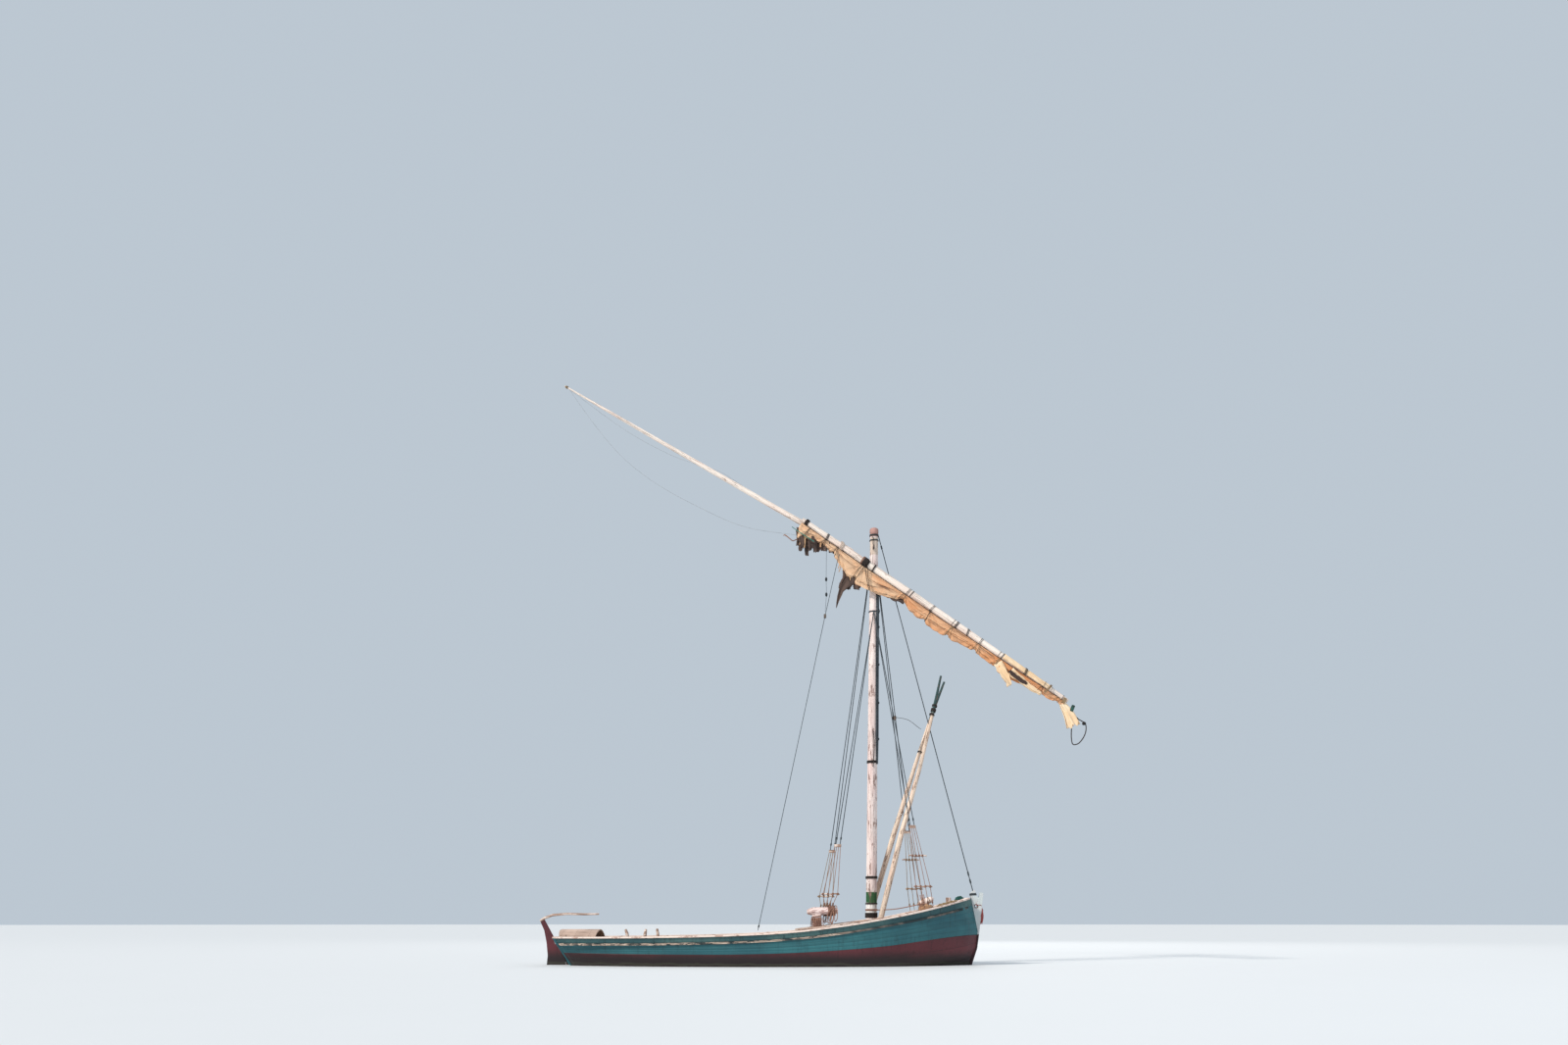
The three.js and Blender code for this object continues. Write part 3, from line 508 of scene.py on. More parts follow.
@dataclass(frozen=True)
class DeckBoards(Finish):
    """Bare planks laid fore and aft, caulked, scuffed and grey with dust."""

    light: RGB
    dark: RGB
    width: float = 0.17
    length: float = 3.1
    axis: str = "Y"

    def weave(self, web: Web) -> bpy.types.Material:
        """Builds the nodes: plank tones, seams, butts, grain and footworn patches.

        Args:
            web: The nodes that it adds to.

        Returns:
            The material.
        """
        spot = web.place()
        along, across = web.part(spot, "X"), web.part(spot, self.axis)
        plank = (across / self.width).floor()
        tone = web.chance(plank)
        seam = (across / self.width).edge().rise(0.035, 0.012)
        butt = (along / self.length + tone * 5.3).edge().rise(0.002, 0.0008)
        line = seam.most(butt)
        grain = web.noise(web.place((1.1, 16, 16)), 2.6, 6, 0.62)
        wear = web.noise(web.place(), 1.1, 4)
        colour = web.blend(grain.rise(0.28, 0.75), self.dark, self.light)
        colour = web.blend(tone * 0.35, colour, self.dark)
        colour = web.blend(wear.rise(0.42, 0.75) * 0.55, colour, tuple(min(1, c * 1.35) for c in self.light))
        colour = web.blend(line * 0.85, colour, tuple(c * 0.3 for c in self.dark))
        nail = ((along / 0.46).edge() * 0.46).most(((across / self.width + 0.5).edge() - 0.28) * self.width)
        colour = web.blend(nail.rise(0.008, 0.004) * 0.5, colour, srgb(62, 40, 30))
        height = grain * 0.5 - line * 1.6 + tone * 0.3
        return web.dress(base_color=colour, roughness=0.7 + grain * 0.2, normal=web.bump(height, 0.003))


@dataclass(frozen=True)
class SparPaint(Finish):
    """Limewashed spar, cracked along its length and rubbed bare in patches; the UV map runs in metres."""

    paint: RGB
    blush: RGB
    wood: RGB
    bare: float
    tip: tuple[float, float] | None = None
    tip_colour: RGB = (0.02, 0.1, 0.1)
    bands: tuple[tuple[float, float, RGB], ...] = ()
    slot: Slot | None = field(default=Slot.SPAR, kw_only=True)

    def weave(self, web: Web) -> bpy.types.Material:
        """Builds the nodes: brushed paint, long shakes, bare patches and painted bands.

        Args:
            web: The nodes that it adds to.

        Returns:
            The material.
        """
        brush = web.noise(web.chart((26, 1.3, 1)), 1.0, 5, 0.65)
        broad = web.noise(web.chart((2.2, 0.45, 1)), 1.0, 3)
        crackle = web.noise(web.chart((20, 0.38, 1)), 1.0, 2, 0.5)
        patch = web.noise(web.chart((7.5, 1.9, 1)), 1.0, 5, 0.7)
        colour = web.blend(broad.rise(0.35, 0.7) * 0.75, self.paint, self.blush)
        colour = web.blend(brush.rise(0.4, 0.75) * 0.3, colour, self.blush)
        level = web.part(web.chart(), "Y")
        for low, high, band in self.bands:
            ragged = level + (patch - 0.5) * 0.05
            mask = ragged.rise(low - 0.012, low + 0.012) * ragged.rise(high + 0.012, high - 0.012)
            colour = web.blend(mask * (1 - patch.rise(0.58, 0.66)), colour, band)
        if self.tip is not None:
            colour = web.blend((level + patch * 0.25).rise(*self.tip), colour, self.tip_colour)
        bare = (patch + brush * 0.18).rise(0.76 - 0.2 * self.bare, 0.79 - 0.2 * self.bare)
        colour = web.blend(bare * 0.85, colour, self.wood)
        shake = crackle.rise(0.475, 0.5) * crackle.rise(0.525, 0.5) * broad.rise(0.3, 0.5)
        colour = web.blend(shake * 0.75, colour, tuple(c * 0.3 for c in self.wood))
        height = brush * 0.3 - bare * 0.3 - shake * 1.0
        return web.dress(
            base_color=colour, roughness=0.55 + brush * 0.25 + bare * 0.1, normal=web.bump(height, 0.004)
        )


@dataclass(frozen=True)
class RopeLay(Finish):
    """Laid rope; the UV map runs in rope diameters, round it and along it."""

    light: RGB
    dark: RGB
    slot: Slot | None = field(default=Slot.ROPE, kw_only=True)

    def weave(self, web: Web) -> bpy.types.Material:
        """Builds the nodes: three strands with painted shade in the grooves between them, their yarns and
        dirt.

        Args:
            web: The nodes that it adds to.

        Returns:
            The material.
        """
        chart = web.chart()
        around, along = web.part(chart, "X"), web.part(chart, "Y")
        strand = ((along * 0.9 + around * 0.955).edge() * 2).rise(0.0, 0.55)
        yarn = ((along * 1.1 - around * 4.7) * 1.7).edge() * 2
        dirt = web.noise(web.place(), 2.3, 4)
        # Painted shade: the colour darkens into the grooves between strands, where the bump sinks.
        colour = web.blend(strand * 0.8 + yarn * 0.15, self.dark, self.light)
        colour = web.blend(dirt.rise(0.45, 0.75) * 0.5, colour, self.dark)
        height = strand + yarn * 0.2
        return web.dress(base_color=colour, roughness=0.85, normal=web.bump(height, 0.004))


@dataclass(frozen=True)
class Sailcloth(Finish):
    """Heavy cotton sail canvas, stained and sun-rotted; the UV map runs in metres.

    Where the piece carries its fold depths, painted shade darkens its folds. Past ripe the cloth is browner.
    """

    light: RGB
    warm: RGB
    dark: RGB
    dirty: float
    relief: float = 0.012
    ripe: tuple[float, float] | None = None
    slot: Slot | None = field(default=Slot.CANVAS, kw_only=True)

    def weave(self, web: Web) -> bpy.types.Material:
        """Builds the nodes: stains, creases along the cloth with painted shade in their hollows, painted
        shade in the folds, seams between its widths and the weave.

        Args:
            web: The nodes that it adds to.

        Returns:
            The material.
        """
        chart = web.chart()
        around, along = web.part(chart, "X"), web.part(chart, "Y")
        stain = web.noise(web.place(), 0.9, 4, 0.6)
        crease = web.noise(web.chart((9.0, 0.9, 1)), 1.0, 5, 0.62)
        slant = web.noise(web.chart((5.0, 3.1, 1)), 1.0, 3, 0.5)
        blot = web.noise(web.place((2, 2, 2)), 1.9, 4, 0.65)
        warmth = stain.rise(0.4, 0.68)
        if self.ripe is not None:
            warmth = warmth * 0.55 + along.rise(*self.ripe) * (0.3 + stain * 0.5)
        colour = web.blend(warmth, self.light, self.warm)
        colour = web.blend(crease.rise(0.5, 0.68) * 0.5, colour, self.warm)
        # Painted shade: the hollows of the crease noise, which the bump sinks too, are darkened.
        colour = web.blend(crease.rise(0.44, 0.32) * 0.75, colour, self.dark)
        blots = blot.rise(0.72 - 0.3 * self.dirty, 0.84 - 0.2 * self.dirty)
        colour = web.blend(blots * 0.7, colour, self.dark)
        # Painted shade in the folds, from the fold depths that the piece keeps in its shade attribute.
        fold = web.attribute("shade")
        colour = web.blend(fold * (0.5 + crease * 0.6), colour, self.dark)
        seam = ((around + slant * 0.02) / 0.62).edge().rise(0.016, 0.006)
        colour = web.blend(seam * 0.35, colour, self.dark)
        weft = ((around * 380).sin() * (along * 380).sin()) * 0.5 + 0.5
        height = crease * 0.8 + slant * 0.35 - seam * 0.12 + weft * 0.02
        return web.dress(base_color=colour, roughness=0.9, normal=web.bump(height, self.relief))


@dataclass(frozen=True)
class Netting(Finish):
    """Heaped fishing net: knotted twine over its own dark folds."""

    light: RGB
    dark: RGB
    slot: Slot | None = field(default=Slot.NET, kw_only=True)

    def weave(self, web: Web) -> bpy.types.Material:
        """Builds the nodes: twine mesh in two layers and the shade between them.

        Args:
            web: The nodes that it adds to.

        Returns:
            The material.
        """
        warp = web.noise(web.place(), 6.0, 3)
        first = web.cells(web.place(), 34).rise(0.11, 0.04)
        second = web.cells(web.place((1.3, 0.8, 1.1), (0.6, 0.4, 0.9)), 27).rise(0.1, 0.04)
        twine = first.most(second * 0.7)
        colour = web.blend(twine, self.dark, self.light)
        colour = web.blend(warp.rise(0.5, 0.75) * 0.4, colour, srgb(150, 160, 130))
        return web.dress(base_color=colour, roughness=0.8, normal=web.bump(twine + warp * 0.6, 0.012))


@dataclass(frozen=True)
class Iron(Finish):
    """Black iron, rusted."""

    black: RGB = (0.03, 0.028, 0.026)
    rust: RGB = (0.22, 0.09, 0.04)
    slot: Slot | None = field(default=Slot.IRON, kw_only=True)

    def weave(self, web: Web) -> bpy.types.Material:
        """Builds the nodes: scale and rust.

        Args:
            web: The nodes that it adds to.

        Returns:
            The material.
        """
        scale = web.noise(web.place(), 16, 5, 0.65)
        rust = scale.rise(0.42, 0.62)
        colour = web.blend(rust * 0.85, self.black, self.rust)
        return web.dress(
            base_color=colour, metallic=0.7 - rust * 0.6, roughness=0.5 + rust * 0.35,
            normal=web.bump(scale, 0.002),
        )


@dataclass(frozen=True)
class Plaster(Finish):
    """The pale matt floor that the boat is shown on."""

    colour: RGB = (0.72, 0.73, 0.74)

    def weave(self, web: Web) -> bpy.types.Material:
        """Builds the nodes: an almost even pale tone.

        Args:
            web: The nodes that it adds to.

        Returns:
            The material.
        """
        cloud = web.noise(web.place(), 0.3, 3)
        colour = web.blend(cloud * 0.12, self.colour, tuple(c * 0.9 for c in self.colour))
        return web.dress(base_color=colour, roughness=0.75)


TEAL_TONES = (srgb(22, 82, 92), srgb(42, 106, 112), srgb(12, 48, 52), srgb(146, 150, 142))
MAROON_TONES = (srgb(72, 17, 27), srgb(94, 34, 42), srgb(34, 9, 15), srgb(132, 88, 86))
TEAL = HullPaint("topside_teal", *TEAL_TONES, 0.35, streaks=0.5)
TEAL_STERN = HullPaint("stern_teal", *TEAL_TONES, 0.45, strakes=False)
BULWARK_PAINT = HullPaint(
    "bulwark_teal", srgb(26, 70, 76), srgb(70, 104, 102), srgb(14, 32, 36), srgb(196, 164, 152), 1.0,
    streaks=0.7,
)
# The bottom's near-black band up to 0.55 m is partly a soaked hull, partly painted shade and a painted
# reflection of dark water.
MAROON = HullPaint(
    "bottom_maroon", *MAROON_TONES, 0.35, soaked_shade_height=0.55, soaked_shade_colour=srgb(16, 6, 10), slot=Slot.BOTTOM
)
MAROON_POSTS = HullPaint(
    "post_maroon", *MAROON_TONES, 0.4, strakes=False, soaked_shade_height=0.55, soaked_shade_colour=srgb(16, 6, 10)
)
RAIL = WornTimber(
    "worn_rail", srgb(224, 190, 174), srgb(142, 108, 96), srgb(232, 212, 200), 0.5, (0.5, 11, 14)
)
# The coat forward is near black: partly the strake's own dark paint, partly painted shade for the shadow
# line under the strake, keeping its lower face from reading lit.
RUB = WornTimber(
    "rubbing_timber", srgb(206, 184, 166), srgb(104, 90, 80), srgb(12, 34, 38), 0.3, (0.5, 11, 14),
    painted=(1.9, 3.6), slot=Slot.DARK,
)
STEM_PAINT = WornTimber(
    "stem_paint", srgb(198, 154, 152), srgb(128, 92, 90), srgb(188, 196, 196), 0.74, (11, 11, 0.7),
    foot=0.99, foot_colour=srgb(46, 13, 20),
)
PALE_TIMBER = WornTimber(
    "pale_timber", srgb(208, 176, 158), srgb(112, 86, 74), srgb(216, 198, 186), 0.3, (0.5, 13, 13),
    relief=0.004,
)
UPRIGHT_TIMBER = WornTimber(
    "upright_timber", srgb(202, 168, 150), srgb(104, 80, 70), srgb(210, 190, 180), 0.3, (13, 13, 0.5),
    relief=0.004,
)
LOG_TIMBER = WornTimber(
    "log_timber", srgb(224, 190, 182), srgb(142, 106, 100), srgb(230, 208, 202), 0.4, (16, 0.9, 1),
    chart=True,
)
DARK_TIMBER = WornTimber(
    "dark_timber", srgb(112, 92, 78), srgb(44, 34, 28), srgb(96, 84, 76), 0.2, (3, 3, 10), relief=0.004,
    slot=Slot.DARK,
)
GREEN_TIMBER = WornTimber(
    "green_timber", srgb(44, 66, 58), srgb(20, 30, 28), srgb(28, 74, 66), 0.5, (3, 3, 10), relief=0.002,
    slot=Slot.DARK,
)
DECK = DeckBoards("deck_boards", srgb(180, 154, 130), srgb(116, 94, 78))
FLOOR_BOARDS = DeckBoards("hold_boards", srgb(150, 124, 100), srgb(84, 66, 52), 0.24, 2.6)
COVER_BOARDS = DeckBoards("cover_boards", srgb(214, 186, 168), srgb(142, 114, 98), 0.21, 9.0)
WALL_BOARDS = DeckBoards("wall_boards", srgb(132, 110, 94), srgb(66, 52, 44), 0.2, 9.0, "Z")
LIMEWASH = SparPaint("spar_limewash", srgb(240, 228, 216), srgb(222, 192, 178), srgb(140, 106, 90), 0.3)
POLE_WASH = SparPaint(
    "pole_limewash", srgb(226, 206, 186), srgb(204, 168, 148), srgb(124, 92, 76), 0.5,
    tip=(7.55, 7.8), tip_colour=srgb(22, 62, 62),
)
MAST_WASH = SparPaint(
    "mast_limewash", srgb(230, 216, 210), srgb(210, 180, 174), srgb(128, 96, 86), 0.5,
    bands=(
        (2.07, 2.4, srgb(240, 236, 232)),
        (2.42, 2.78, srgb(26, 84, 40)),
        (15.62, 16.2, srgb(176, 132, 122)),
        (14.9, 15.58, srgb(204, 184, 168)),
    ),
)
STICK_PAINT = SparPaint("stick_paint", srgb(60, 128, 112), srgb(30, 84, 74), srgb(120, 100, 80), 0.3)
MANILA = RopeLay("manila_rope", srgb(176, 148, 112), srgb(92, 70, 48))
DARK_ROPE = RopeLay("tarred_rope", srgb(80, 88, 94), srgb(24, 30, 34), slot=Slot.TARRED)
BLACK_ROPE = RopeLay("black_rope", srgb(58, 46, 42), srgb(18, 15, 14))
RED_ROPE = RopeLay("red_rope", srgb(168, 124, 104), srgb(92, 60, 50))
TASSEL_ROPE = RopeLay("tassel_rope", srgb(190, 98, 92), srgb(112, 46, 46))
PALE_LINE = RopeLay("pale_line", srgb(196, 200, 204), srgb(110, 116, 122))
LIMED_ROPE = RopeLay("limed_rope", srgb(222, 206, 192), srgb(160, 134, 120))
SAIL = Sailcloth(
    "sail_canvas", srgb(228, 190, 154), srgb(212, 144, 94), srgb(88, 58, 46), 0.3, ripe=(4.4, 4.9)
)
SAIL_PALE = Sailcloth(
    "sail_hem_canvas", srgb(226, 182, 142), srgb(212, 150, 104), srgb(110, 78, 60), 0.3, 0.004
)
PATCH = Sailcloth("sail_patch", srgb(238, 216, 186), srgb(224, 190, 150), srgb(118, 88, 68), 0.15, 0.006)
# Dark copy of the sail canvas: painted shade for cloth that hangs in shadow under the roll.
SHADED_RAGS = Sailcloth("sail_rags", srgb(84, 66, 58), srgb(60, 44, 40), srgb(22, 17, 18), 0.7, 0.006)
TAN_RAGS = Sailcloth("sail_threads", srgb(208, 168, 128), srgb(180, 128, 88), srgb(84, 58, 46), 0.4, 0.006)
BUNDLE_CLOTH = Sailcloth(
    "bundle_canvas", srgb(236, 220, 212), srgb(220, 194, 180), srgb(140, 108, 98), 0.15, 0.006
)
STOWED_CLOTH = Sailcloth(
    "stowed_canvas", srgb(186, 152, 120), srgb(160, 114, 82), srgb(70, 50, 40), 0.4, 0.008
)
NET = Netting("net_twine", srgb(36, 128, 118), srgb(6, 38, 40))
IRON = Iron("rusted_iron")
FLOOR = Plaster("pale_floor")


def frames_along(path: Sequence[Vector], up: Vector | None = None) -> list[Matrix]:
    """Sets a frame at each point of a path, its Z along the path.

    Args:
        path: The points.
        up: Direction that Y keeps towards; without it the frames turn as little as they can.

    Returns:
        A matrix for each point, with its place.
    """
    frames: list[Matrix] = []
    side: Vector | None = None
    last = len(path) - 1
    for i, point in enumerate(path):
        along = (path[min(last, i + 1)] - path[max(0, i - 1)]).normalized()
        if up is not None:
            across = up.cross(along)
        elif side is None:
            across = (UP if abs(along.z) < 0.9 else Vector((1, 0, 0))).cross(along)
        else:
            across = side - along * side.dot(along)
        side = across.normalized()
        turn = Matrix((side, along.cross(side), along)).transposed().to_4x4()
        frames.append(Matrix.Translation(point) @ turn)
    return frames


def rounded(width: float, height: float, radius: float, steps: int = 2) -> list[tuple[float, float]]:
    """Outline of a rectangle with round corners, about its middle.

    Args:
        width: Size across.
        height: Size up.
        radius: Radius of the corners.
        steps: Short sides that make each corner.

    Returns:
        The outline's points, counterclockwise.
    """
    points = []
    for turn, (sx, sy) in enumerate(((1, 1), (-1, 1), (-1, -1), (1, -1))):
        for k in range(steps + 1):
            angle = (turn + k / steps) * TAU / 4
            x = sx * (width / 2 - radius) + radius * cos(angle)
            points.append((x, sy * (height / 2 - radius) + radius * sin(angle)))
    return points


def wander(share: float, along: float, seed: float) -> float:
    """Smooth noise over a round piece, at a share of the way round and a distance along it."""
    return noise.noise(Vector((cos(TAU * share), sin(TAU * share), along + 31 * seed)))


def length_of(path: Sequence[Vector]) -> float:
    """Length of a line through points."""
    return sum((b - a).length for a, b in zip(path, path[1:]))


def step_at(path: Sequence[Vector], share: float) -> tuple[int, Vector]:
    """Finds the place at a share of the way along a path of equal steps.

    Args:
        path: The path's points.
        share: Share from 0 to 1.

    Returns:
        Number of the step that the place falls in, and the point.
    """
    last = len(path) - 1
    i = min(last - 1, int(share * last))
    return i, path[i].lerp(path[i + 1], share * last - i)


def straight(start: Vector, end: Vector, count: int) -> list[Vector]:
    """Points of a straight line in a number of equal steps."""
    return [start.lerp(end, k / count) for k in range(count + 1)]


def curved(points: Sequence[Place], count: int) -> list[Vector]:
    """Points of a smooth curve through a few given ones.

    Args:
        points: The given ones.
        count: Number of equal steps.

    Returns:
        The curve's points, ends included.
    """
    rows = []
    reach = 0.0
    for i, point in enumerate(points):
        reach += (Vector(point) - Vector(points[i - 1])).length if i else 0.0
        rows.append((reach, *point))
    keys = [reach * k / count for k in range(count + 1)]
    return [Vector(smooth_read(rows, key, c) for c in (1, 2, 3)) for key in keys]


def edges_at(verts: Sequence[bmesh.types.BMVert]) -> list[bmesh.types.BMEdge]:
    """Edges that meet some points, each once and in the same order in every run."""
    return list(dict.fromkeys(edge for vert in verts for edge in vert.link_edges))


class Shape:
    """One piece's mesh while it is shaped."""

    def __init__(self) -> None:
        """Starts an empty mesh with a UV map."""
        self.bm = bmesh.new()
        self.uv = self.bm.loops.layers.uv.new("UVMap")
        self.around = self.bm.verts.layers.float.new("around")
        self.along = self.bm.verts.layers.float.new("along")

    def tube(
        self,
        path: Sequence[Vector],
        radii: float | Sequence[float],
        sides: int = 10,
        *,
        section: Sequence[tuple[float, float]] | None = None,
        up: Vector | None = None,
        unit: float = 1.0,
        wobble: Callable[[float, float], float] | None = None,
    ) -> "Shape":
        """Extrudes a ring along a path.

        Args:
            path: Points of the centre line.
            radii: Radius, or one for each point; it scales the section where there is one.
            sides: Sides of a round ring.
            section: Outline of the ring instead of a circle.
            up: Direction that the ring's Y keeps towards.
            unit: Length that one step of the UV map stands for.
            wobble: Factor on the radius at a share of the way round and a distance along.

        Returns:
            The shape itself.
        """
        count = len(section) if section else sides
        if section:
            outline = [Vector((x, y, 0)) for x, y in section]
        else:
            outline = [Vector((cos(TAU * k / count), sin(TAU * k / count), 0)) for k in range(count)]
        girth = sum((outline[k] - outline[k - 1]).length for k in range(count))
        sizes = [radii] * len(path) if isinstance(radii, (int, float)) else list(radii)
        ring = bmesh.ops.create_circle(self.bm, segments=count, radius=1)["verts"]
        for k, vert in enumerate(ring):
            vert[self.around] = k / count
        edges = edges_at(ring)
        distance = 0.0
        everything = list(ring)
        first = edges
        for i, place in enumerate(frames_along(path, up)):
            if i:
                distance += (path[i] - path[i - 1]).length
                geometry = bmesh.ops.extrude_edge_only(self.bm, edges=edges)["geom"]
                ring = [g for g in geometry if isinstance(g, bmesh.types.BMVert)]
                fresh = set(ring)
                edges = [
                    g for g in geometry
                    if isinstance(g, bmesh.types.BMEdge) and g.verts[0] in fresh and g.verts[1] in fresh
                ]
                everything += ring
            for vert in ring:
                share = vert[self.around]
                vert[self.along] = distance
                factor = sizes[i] * (wobble(share, distance) if wobble else 1.0)
                vert.co = place @ (outline[round(share * count) % count] * factor)
        faces = {f for v in everything for f in v.link_faces}
        mean = sum(sizes) / len(sizes) * girth
        for face in faces:
            shares = [loop.vert[self.around] for loop in face.loops]
            wrap = max(shares) - min(shares) > 0.5
            for loop, share in zip(face.loops, shares):
                turn = share + 1 if wrap and share < 0.5 else share
                loop[self.uv].uv = (turn * mean / unit, loop.vert[self.along] / unit)
        reach = mean / TAU / unit
        for rim in (first, edges):
            for face in bmesh.ops.edgeloop_fill(self.bm, edges=rim)["faces"]:
                for loop in face.loops:
                    turn = loop.vert[self.around] * TAU
                    loop[self.uv].uv = (cos(turn) * reach, sin(turn) * reach)
        return self

    def rope(self, path: Sequence[Vector], thick: float, sides: int = 6) -> "Shape":
        """Lays rope of one radius along a path."""
        return self.tube(path, thick, sides, unit=2 * thick)

    def sheet(
        self, columns: int, rows: int, place: Callable[[float, float], Charted]
    ) -> "Shape":
        """Lays a grid over a surface.

        Args:
            columns: Steps one way.
            rows: Steps the other way.
            place: Gives the point and the UV pair for two shares from 0 to 1.

        Returns:
            The shape itself.
        """
        grid = bmesh.ops.create_grid(self.bm, x_segments=columns, y_segments=rows, size=1)["verts"]
        charted: dict[bmesh.types.BMVert, tuple[float, float]] = {}
        for vert in grid:
            vert.co, charted[vert] = place((vert.co.x + 1) / 2, (vert.co.y + 1) / 2)
        for face in {f for v in grid for f in v.link_faces}:
            for loop in face.loops:
                loop[self.uv].uv = charted[loop.vert]
        return self

    def block(self, low: Place, high: Place, bevel: float = 0.01, turn: Matrix | None = None) -> "Shape":
        """Adds a timber block with eased edges.

        Args:
            low: Lowest corner.
            high: Highest corner.
            bevel: Width of the eased edges.
            turn: Turn about the block's middle.

        Returns:
            The shape itself.
        """
        middle = (Vector(low) + Vector(high)) / 2
        size = Vector(high) - Vector(low)
        verts = bmesh.ops.create_cube(self.bm, size=1)["verts"]
        bmesh.ops.transform(self.bm, matrix=Matrix.Diagonal((*size, 1)), verts=verts)
        edges = edges_at(verts)
        made = bmesh.ops.bevel(
            self.bm, geom=edges, offset=bevel, affect="EDGES", segments=2, profile=0.5, material=-1,
            offset_type="OFFSET",
        )
        verts = list(dict.fromkeys(v for f in made["faces"] for v in f.verts))
        matrix = Matrix.Translation(middle) @ (turn.to_4x4() if turn else Matrix.Identity(4))
        bmesh.ops.transform(self.bm, matrix=matrix, verts=verts)
        return self

    def ball(self, centre: Place, half: Point, lumps: float = 0.0, detail: int = 3) -> "Shape":
        """Adds a rounded lump.

        Args:
            centre: Its middle.
            half: Half sizes along the axes.
            lumps: Share of its size that the surface wanders by.
            detail: How finely it is divided.

        Returns:
            The shape itself.
        """
        verts = bmesh.ops.create_icosphere(self.bm, subdivisions=detail, radius=1)["verts"]
        for vert in verts:
            swell = 1 + lumps * noise.noise(vert.co * 2.3 + Vector(centre))
            vert.co = Vector(centre) + Vector(c * h * swell for c, h in zip(vert.co, half))
        return self

    def coil(
        self, centre: Vector, axis: Vector, radius: float, thick: float, turns: float,
        pitch: float | None = None,
    ) -> "Shape":
        """Winds rope round a spar.

        Args:
            centre: Middle of the winding, on the spar's axis.
            axis: The spar's direction.
            radius: Radius that the rope lies on.
            thick: Radius of the rope.
            turns: Number of turns.
            pitch: Travel of each turn; without it the turns lie side by side.

        Returns:
            The shape itself.
        """
        step = 2.05 * thick if pitch is None else pitch
        direction = axis.normalized()
        side = direction.orthogonal().normalized()
        other = direction.cross(side)
        count = max(8, round(turns * 18))
        path = []
        for k in range(count + 1):
            angle = TAU * turns * k / count
            lift = direction * (step * turns * (k / count - 0.5))
            path.append(centre + lift + (side * cos(angle) + other * sin(angle)) * (radius + thick))
        return self.rope(path, thick)

    def order(self) -> None:
        """Sorts edges and faces by their lowest points, because extruding lists them anew in each run."""
        self.bm.verts.index_update()
        count = len(self.bm.verts)

        def rank(element: bmesh.types.BMEdge | bmesh.types.BMFace) -> int:
            """Number that stands for the three lowest points of an edge or face."""
            low = sorted(vert.index for vert in element.verts)[:3]
            return sum(index * count ** (2 - k) for k, index in enumerate(low))

        self.bm.edges.sort(key=rank)
        self.bm.faces.sort(key=rank)

    def piece(
        self,
        name: str,
        finish: Finish,
        body: Body | None = Body.HULL,
        replaces: Sequence[str] = (),
        sharp: float = 38,
        outward: bool = True,
    ) -> bpy.types.Object:
        """Turns the shape into a finished object.

        Args:
            name: The object's name.
            finish: Its finish.
            body: The body it rides on, or None where the caller blends it.
            replaces: CAD nodes that it stands for.
            sharp: Angle in degrees past which an edge stays hard.
            outward: Whether the normals are worked out again.

        Returns:
            The object.
        """
        if outward:
            bmesh.ops.recalc_face_normals(self.bm, faces=self.bm.faces)
        self.order()
        for face in self.bm.faces:
            face.smooth = True
        for edge in self.bm.edges:
            edge.smooth = edge.calc_face_angle(0) < radians(sharp)
        self.bm.verts.layers.float.remove(self.bm.verts.layers.float["around"])
        self.bm.verts.layers.float.remove(self.bm.verts.layers.float["along"])
        mesh = bpy.data.meshes.new(name)
        self.bm.to_mesh(mesh)
        self.bm.free()
        mesh.materials.append(finish.material)
        made = bpy.data.objects.new(name, mesh)
        bpy.context.scene.collection.objects.link(made)
        if body is not None:
            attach(made, body.value)
        if replaces:
            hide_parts(*replaces)
        LOG.info("%s: %d faces", name, len(mesh.polygons))
        return made


def soften(node: str, finish: Finish, width: float) -> None:
    """Gives a CAD node its finish and eases its hard edges.

    Args:
        node: Name of the CAD node.
        finish: Its finish.
        width: Width of the eased edges; none at 0.
    """
    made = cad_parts[node]
    made.data.materials.clear()
    made.data.materials.append(finish.material)
    if width > 0:
        weld = made.modifiers.new("weld", "WELD")
        weld.merge_threshold = 0.0002
        bevel = made.modifiers.new("eased_edges", "BEVEL")
        bevel.width = width
        bevel.segments = 2
        bevel.limit_method = "ANGLE"
        bevel.angle_limit = radians(32)
        bevel.harden_normals = False
    LOG.info("%s: dressed", node)


def thicken(made: bpy.types.Object, thickness: float = 0.003) -> None:
    """Gives an open surface its wall, on the inner side.

    Args:
        made: The piece.
        thickness: Thickness of the wall; cloth's where it isn't given.
    """
    wall = made.modifiers.new("wall", "SOLIDIFY")
    wall.thickness = thickness
    wall.offset = -1


